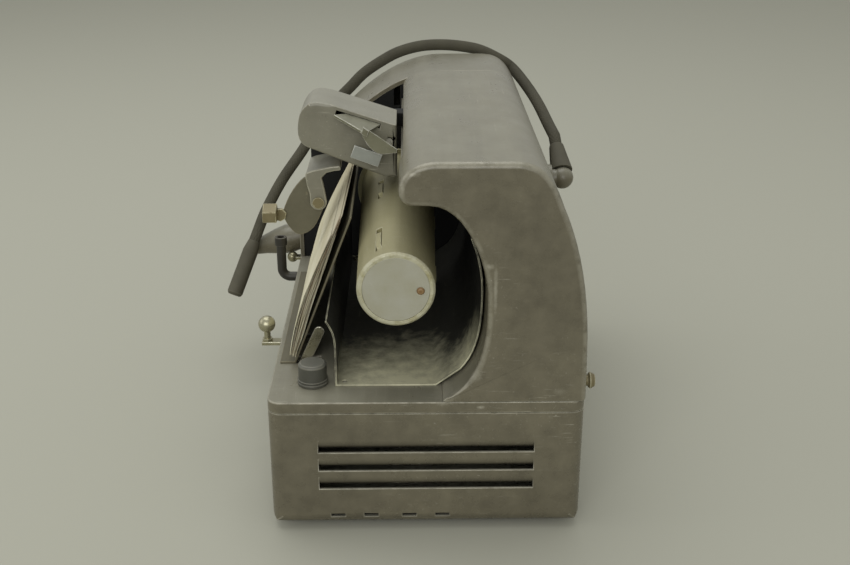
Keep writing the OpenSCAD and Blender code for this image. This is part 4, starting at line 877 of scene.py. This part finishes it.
# %% Starting, closing and running a tree
def start_tree(name, **inputs):
    tree = bpy.data.node_groups.new(name, "GeometryNodeTree")
    tree.interface.new_socket(name="Geometry", in_out="OUTPUT", socket_type="NodeSocketGeometry")
    for key, kind in inputs.items():
        tree.interface.new_socket(name=key, in_out="INPUT", socket_type="NodeSocket" + kind)
    return tree, tree.nodes.new("NodeGroupInput").outputs


def close_tree(tree, geometry, material):
    real = add(tree, "GeometryNodeRealizeInstances", {0: geometry}).outputs[0]
    painted = add(tree, "GeometryNodeSetMaterial", {"Geometry": real, "Material": material})
    tree.links.new(painted.outputs[0], tree.nodes.new("NodeGroupOutput").inputs[0])


def run_tree(tree, name, values):
    helper = bpy.data.objects.new(name + ".helper", bpy.data.meshes.new(name + ".empty"))
    scene_objects.link(helper)
    modifier = helper.modifiers.new("made", "NODES")
    modifier.node_group = tree
    for item in tree.interface.items_tree:
        if item.item_type == "SOCKET" and item.in_out == "INPUT":
            modifier[item.identifier] = values[item.name]
    graph = bpy.context.evaluated_depsgraph_get()
    mesh = bpy.data.meshes.new_from_object(helper.evaluated_get(graph), depsgraph=graph)
    bpy.data.objects.remove(helper)
    mesh.name = name
    print(name, len(mesh.vertices), "vertices")
    return mesh


# %% Vectors, parts and places in a tree
def vector(tree, x=0.0, y=0.0, z=0.0):
    return add(tree, "ShaderNodeCombineXYZ", {"X": x, "Y": y, "Z": z}).outputs[0]


def form(tree, kind, settings=None, **inputs):
    inputs = {key.replace("_", " "): value for key, value in inputs.items()}
    return add(tree, "GeometryNode" + kind, inputs, **(settings or {})).outputs[0]


def joined(tree, *parts):
    node = add(tree, "GeometryNodeJoinGeometry")
    for part in parts:
        tree.links.new(part, node.inputs[0])
    return node.outputs[0]


def random_vector(tree, low, high, seed):
    return add(tree, "FunctionNodeRandomValue", {"Min": low, "Max": high, "Seed": seed},
               data_type="FLOAT_VECTOR").outputs[0]


# %% [markdown]
# ## The pad of paper slips
# The pad is a stack of thin slips that lean on a board. Old slips curl and lie
# unevenly, so each one is shifted a little, bows out at mid height and has its
# own age, which the paper's colour reads.

# %% A row of slips
# Each slip is cut into steps along its height so that it can bend, and is
# shifted, cut to its own height and aged.
SHIFT_LOW, SHIFT_HIGH = (-0.00005, -0.0016, 0.0), (0.00005, 0.0016, 0.0004)
CUT_LOW, CUT_HIGH = (1.0, 1.0, 0.8), (1.0, 1.0, 1.0)


def slip_row(tree, given):
    slip = form(tree, "MeshCube", Vertices_X=2, Vertices_Y=2, Vertices_Z=20,
                Size=vector(tree, given["Thickness"], given["Length"], given["Height"]))
    half = calc(tree, "MULTIPLY", given["Height"], 0.5)
    slip = form(tree, "Transform", Geometry=slip, Translation=vector(tree, 0.0, 0.0, half))
    row = form(tree, "MeshLine", Count=given["Count"], Offset=vector(tree, given["Pitch"]))
    row = form(tree, "SetPosition", Geometry=row,
               Offset=random_vector(tree, SHIFT_LOW, SHIFT_HIGH, 7))
    chance = add(tree, "FunctionNodeRandomValue", {"Seed": 0}, data_type="FLOAT").outputs[1]
    index = tree.nodes.new("GeometryNodeInputIndex").outputs[0]
    inner = calc(tree, "MULTIPLY", index, 0.3, True)
    row = form(tree, "StoreNamedAttribute", {"data_type": "FLOAT", "domain": "POINT"},
               Geometry=row, Name="tint", Value=calc(tree, "MULTIPLY", chance, inner))
    stack = form(tree, "InstanceOnPoints", Points=row, Instance=slip,
                 Scale=random_vector(tree, CUT_LOW, CUT_HIGH, 3))
    return form(tree, "RealizeInstances", Geometry=stack)


# %% Bending the slips
# The outer slips bend most: they bow out in the middle, close up at the top,
# ripple, and sag at the near corner.
RIPPLE_SCALE = (900.0, 10.0, 34.0)


def bent(tree, given, stack):
    def times(a, b):
        return calc(tree, "MULTIPLY", a, b)

    def minus(a, b, clamp=False):
        return calc(tree, "SUBTRACT", a, b, clamp)

    here = tree.nodes.new("GeometryNodeInputPosition").outputs[0]
    at = add(tree, "ShaderNodeSeparateXYZ", {0: here}).outputs
    up_share = calc(tree, "DIVIDE", at["Z"], given["Height"], True)
    depth = times(given["Pitch"], given["Count"])
    left_share = minus(1.0, calc(tree, "DIVIDE", at["X"], depth))
    belly = calc(tree, "SINE", times(calc(tree, "POWER", up_share, 0.8), math.pi))
    squeeze = times(calc(tree, "POWER", up_share, 1.5), given["Taper"])
    bend = times(minus(squeeze, times(belly, given["Bow"])), left_share)
    ripple = noise(tree, across(tree, "MULTIPLY", here, RIPPLE_SCALE), 1.0, 2.0, 0.5)
    bend = calc(tree, "ADD", bend, times(minus(ripple, 0.5), given["Wave"]))
    near = minus(0.5, calc(tree, "DIVIDE", at["Y"], given["Length"]), True)
    bend = minus(bend, times(times(up_share, near), given["Sag"]))
    return form(tree, "SetPosition", Geometry=stack, Offset=vector(tree, bend))


# %% The slips' tree
def slips_tree(material):
    tree, given = start_tree(
        "slips", Count="Int", Pitch="Float", Thickness="Float", Length="Float", Height="Float",
        Bow="Float", Taper="Float", Wave="Float", Sag="Float", Lean="Float", Foot="Vector")
    stack = bent(tree, given, slip_row(tree, given))
    stack = form(tree, "Transform", Geometry=stack, Translation=given["Foot"],
                 Rotation=vector(tree, 0.0, given["Lean"], 0.0))
    close_tree(tree, stack, material)
    return tree


# %% Slip pad
PAD_LEAN = math.atan2(37.3, 96)
PAD_T, PAD_L = 0.004, 0.150
PAD_SLACK = 0.0003
SLIP_COUNT = 11
SLIP_L, SLIP_H = 0.146, 0.0945
SLIP_SHARE = 0.45
FOOT_RISE = 0.0057
slip_pitch = (PAD_T - PAD_SLACK) / SLIP_COUNT
pad_up = Vector((math.sin(PAD_LEAN), 0, math.cos(PAD_LEAN)))
pad_out = Vector((math.cos(PAD_LEAN), 0, -math.sin(PAD_LEAN)))
pad_base = mm(-80.5, 47, 83) + pad_up * FOOT_RISE + Vector((0, PAD_L / 2, 0))
pad_foot = pad_base - pad_out * (PAD_T - slip_pitch - PAD_SLACK) / 2
slips = run_tree(slips_tree(slip_paper), "slip_pad", {
    "Count": SLIP_COUNT, "Pitch": slip_pitch, "Thickness": slip_pitch * SLIP_SHARE,
    "Length": SLIP_L, "Height": SLIP_H, "Bow": 0.0034, "Taper": 0.0026, "Wave": 0.0026,
    "Sag": 0.0034, "Lean": PAD_LEAN, "Foot": pad_foot})
place(slips, slip_paper, "slip_pad")
print("slips:", SLIP_COUNT, "of", SLIP_L, "by", SLIP_H, "m")

# %% [markdown]
# ## Age in the paper
# An old slip is browner, and all of them brown towards their tops. The tree gave
# each slip its age as an attribute, so one material can show them all.

# %% Age in the paper
AGED_PAPER = (0.17, 0.105, 0.045, 1)
PALE_Z, BROWN_Z = 0.125, 0.175
paper = slip_paper.node_tree
paper_color = paper.nodes["Principled BSDF"].inputs["Base Color"]
age = ramp(paper, attribute(paper, "tint"), 0.45, 1.0)
height = add(paper, "ShaderNodeSeparateXYZ", {0: object_place(paper)}).outputs["Z"]
top_age = calc(paper, "MULTIPLY", ramp(paper, height, PALE_Z, BROWN_Z), 0.35)
age = calc(paper, "ADD", age, top_age, True)
plain_paper = paper_color.links[0].from_socket
paper.links.new(mix_color(paper, age, plain_paper, AGED_PAPER), paper_color)
print("paper browns from", PALE_Z, "to", BROWN_Z, "m above the table")

# %% [markdown]
# ## The feed screw
# The carriage is driven along a fine screw. Its thread is a row of rings, which
# reads the same as a helix at this size.

# %% The thread's tree
def thread_tree(material):
    tree, given = start_tree("thread", Count="Int", Pitch="Float", Radius="Float",
                             Depth="Float", Foot="Vector")
    row = form(tree, "MeshLine", Count=given["Count"], Offset=vector(tree, 0.0, given["Pitch"]))
    inner = calc(tree, "SUBTRACT", given["Radius"], given["Depth"])
    half = calc(tree, "MULTIPLY", given["Pitch"], 0.5)
    rise = form(tree, "MeshCone", {"fill_type": "NONE"}, Vertices=32, Depth=half,
                Radius_Top=given["Radius"], Radius_Bottom=inner)
    fall = form(tree, "MeshCone", {"fill_type": "NONE"}, Vertices=32, Depth=half,
                Radius_Top=inner, Radius_Bottom=given["Radius"])
    fall = form(tree, "Transform", Geometry=fall, Translation=vector(tree, 0.0, 0.0, half))
    ring = form(tree, "Transform", Geometry=joined(tree, rise, fall),
                Rotation=(-math.pi / 2, 0, 0))
    screw = form(tree, "InstanceOnPoints", Points=row, Instance=ring)
    screw = form(tree, "Transform", Geometry=screw, Translation=given["Foot"])
    close_tree(tree, screw, material)
    return tree


# %% Feed screw
PITCH, SCREW_R, THREAD_DEPTH = 0.0012, 0.004, 0.0006
low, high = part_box("feed_screw")
screw_axis = (Vector(low) + Vector(high)) / 2
turns = int((high[1] - low[1]) / PITCH) - 1
screw_mesh = run_tree(thread_tree(steel), "feed_screw", {
    "Count": turns, "Pitch": PITCH, "Radius": SCREW_R, "Depth": THREAD_DEPTH,
    "Foot": (screw_axis.x, low[1] + PITCH / 2, screw_axis.z)})
place(screw_mesh, steel, "feed_screw")
print("thread:", turns, "turns")

# %% [markdown]
# ## Screws with slotted heads
# The chip tray is held by two round-headed screws. One head with its slot is
# cut and set on a shank, and the screw is repeated on a point for each place.

# %% The screws' tree
def screws_tree(material):
    tree, given = start_tree("screws", Radius="Float", Head="Float", Shank="Float",
                             Length="Float", Slot="Float", Step="Vector", First="Vector")

    def raised(geometry, size, share, **change):
        lift = vector(tree, 0.0, 0.0, calc(tree, "MULTIPLY", size, share))
        return form(tree, "Transform", Geometry=geometry, Translation=lift, **change)

    head = form(tree, "MeshCylinder", Vertices=40, Radius=given["Radius"], Depth=given["Head"])
    head = raised(head, given["Head"], 0.5)
    wide = calc(tree, "MULTIPLY", given["Radius"], 3.0)
    slot = form(tree, "MeshCube", Size=vector(tree, given["Slot"], wide, given["Head"]))
    slot = raised(slot, given["Head"], 1.05, Rotation=(0, 0, 0.7))
    cut = add(tree, "GeometryNodeMeshBoolean", {"Mesh 1": head}, operation="DIFFERENCE")
    tree.links.new(slot, cut.inputs["Mesh 2"])
    shank = form(tree, "MeshCylinder", Vertices=24, Radius=given["Shank"], Depth=given["Length"])
    screw = joined(tree, cut.outputs[0], raised(shank, given["Length"], -0.5))
    points = form(tree, "MeshLine", Count=2, Start_Location=given["First"], Offset=given["Step"])
    close_tree(tree, form(tree, "InstanceOnPoints", Points=points, Instance=screw), material)
    return tree


# %% Tray screws
low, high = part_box("tray_screws")
HEAD_R, HEAD_H, SHANK_R, SLOT_W = 0.003, 0.0016, 0.0015, 0.0008
first = Vector((low[0] + HEAD_R, low[1] + HEAD_R, high[2] - HEAD_H))
step = Vector((high[0] - low[0] - 2 * HEAD_R, 0, 0))
screws_mesh = run_tree(screws_tree(nickel), "tray_screws", {
    "Radius": HEAD_R, "Head": HEAD_H, "Shank": SHANK_R, "Length": high[2] - low[2] - HEAD_H,
    "Slot": SLOT_W, "Step": step, "First": first})
place(screws_mesh, nickel, "tray_screws")

# %% [markdown]
# ## The speaking tube's woven cover
# A braided cover shows as two sets of fine ridges that cross. The curve's own
# UV runs along and around the tube, so two slanted waves on it make the braid.
# The ridges are far finer than the tube, so they are bump and not shape.

# %% The woven cover
tube_cover = hard_finish(
    "tube_cover", (0.1, 0.094, 0.066), (0.062, 0.058, 0.042), (0.17, 0.16, 0.12),
    dust=(0.17, 0.165, 0.13), rough=0.7, bare_metal=0.0, chips=0.5, dustiness=0.3, scratches=0.4,
    specular=0.2)
STRAND_PITCH = 0.0022
STRANDS_AROUND = 12.0
cover = tube_cover.node_tree
cover_uv = add(cover, "ShaderNodeTexCoord").outputs["UV"]
uv = add(cover, "ShaderNodeSeparateXYZ", {0: cover_uv}).outputs


def strands(direction):
    along = calc(cover, "MULTIPLY", uv["X"], tube_length / STRAND_PITCH)
    around = calc(cover, "MULTIPLY", uv["Y"], STRANDS_AROUND * direction)
    phase = calc(cover, "MULTIPLY", calc(cover, "ADD", along, around), 2 * math.pi)
    return calc(cover, "MAXIMUM", calc(cover, "SINE", phase), 0.0)


weave = calc(cover, "MAXIMUM", strands(1.0), strands(-1.0))
weave_bump = add(cover, "ShaderNodeBump", {"Height": weave, "Distance": 0.0003, "Strength": 0.8})
cover.links.new(weave_bump.outputs[0], cover.nodes["Principled BSDF"].inputs["Normal"])
print("braid:", round(tube_length / STRAND_PITCH), "strands along the tube")

# %% [markdown]
# ## The speaking tube
# The hose is a curve with a round section, along the line that was worked out
# above.

# %% The speaking tube
tube_curve = bpy.data.curves.new("speaking_tube_piece", "CURVE")
tube_curve.dimensions = "3D"
spline = tube_curve.splines.new("POLY")
spline.points.add(len(tube_line) - 1)
for point, at in zip(spline.points, tube_line):
    point.co = (*at, 1)
spline.use_smooth = True
tube_curve.bevel_depth = TUBE_D / 2
tube_curve.bevel_resolution = 6
tube_curve.use_fill_caps = True
tube_curve.materials.append(tube_cover)
tube = bpy.data.objects.new("speaking_tube_piece", tube_curve)
scene_objects.link(tube)
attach(tube, "chassis")
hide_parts("speaking_tube")
print("speaking tube in place")

# %% [markdown]
# ## The studio
# A wide sheet of grey-green paper runs under and behind the machine. A large
# soft lamp in front and a little to the left lights the faces that look at the
# camera, a weaker one hangs overhead and a faint one stands at the left. The
# lamps are large, so the shadows are soft as in the photograph.

# %% Floor
FLOOR = 6.0
FLOOR_COLOR = (0.43, 0.43, 0.36, 1)
floor_mesh = bpy.data.meshes.new("floor")
floor_corners = [(-FLOOR, -FLOOR, 0), (FLOOR, -FLOOR, 0), (FLOOR, FLOOR, 0), (-FLOOR, FLOOR, 0)]
floor_mesh.from_pydata(floor_corners, [], [(0, 1, 2, 3)])
floor = bpy.data.objects.new("floor", floor_mesh)
scene_objects.link(floor)
floor_material, _, floor_shader = new_material("studio_paper")
floor_shader.inputs["Base Color"].default_value = FLOOR_COLOR
floor_shader.inputs["Roughness"].default_value = 0.9
floor_mesh.materials.append(floor_material)
print("floor", 2 * FLOOR, "m wide")

# %% World and lamps
world = bpy.data.worlds.new("studio")
bpy.context.scene.world = world
world.use_nodes = True
background = world.node_tree.nodes["Background"].inputs
background["Color"].default_value = (0.8, 0.8, 0.76, 1)
background["Strength"].default_value = 0.58
LAMP_TARGET = Vector((0, 0, 0.1))


def soft_lamp(name, at, size, power):
    data = bpy.data.lights.new(name, "AREA")
    data.shape = "RECTANGLE"
    data.size, data.size_y = size
    data.energy = power
    lamp = bpy.data.objects.new(name, data)
    scene_objects.link(lamp)
    lamp.location = at
    lamp.rotation_euler = (LAMP_TARGET - Vector(at)).to_track_quat("-Z", "Y").to_euler()


soft_lamp("overhead", (-0.2, 0.4, 1.8), (1.5, 1.5), 13)
soft_lamp("front", (-0.35, -2.3, 1.1), (2.2, 1.4), 23)
soft_lamp("left", (-1.6, 0.1, 0.8), (1.0, 1.0), 3)
bpy.context.scene.view_settings.view_transform = "Standard"
print("lamps lit")
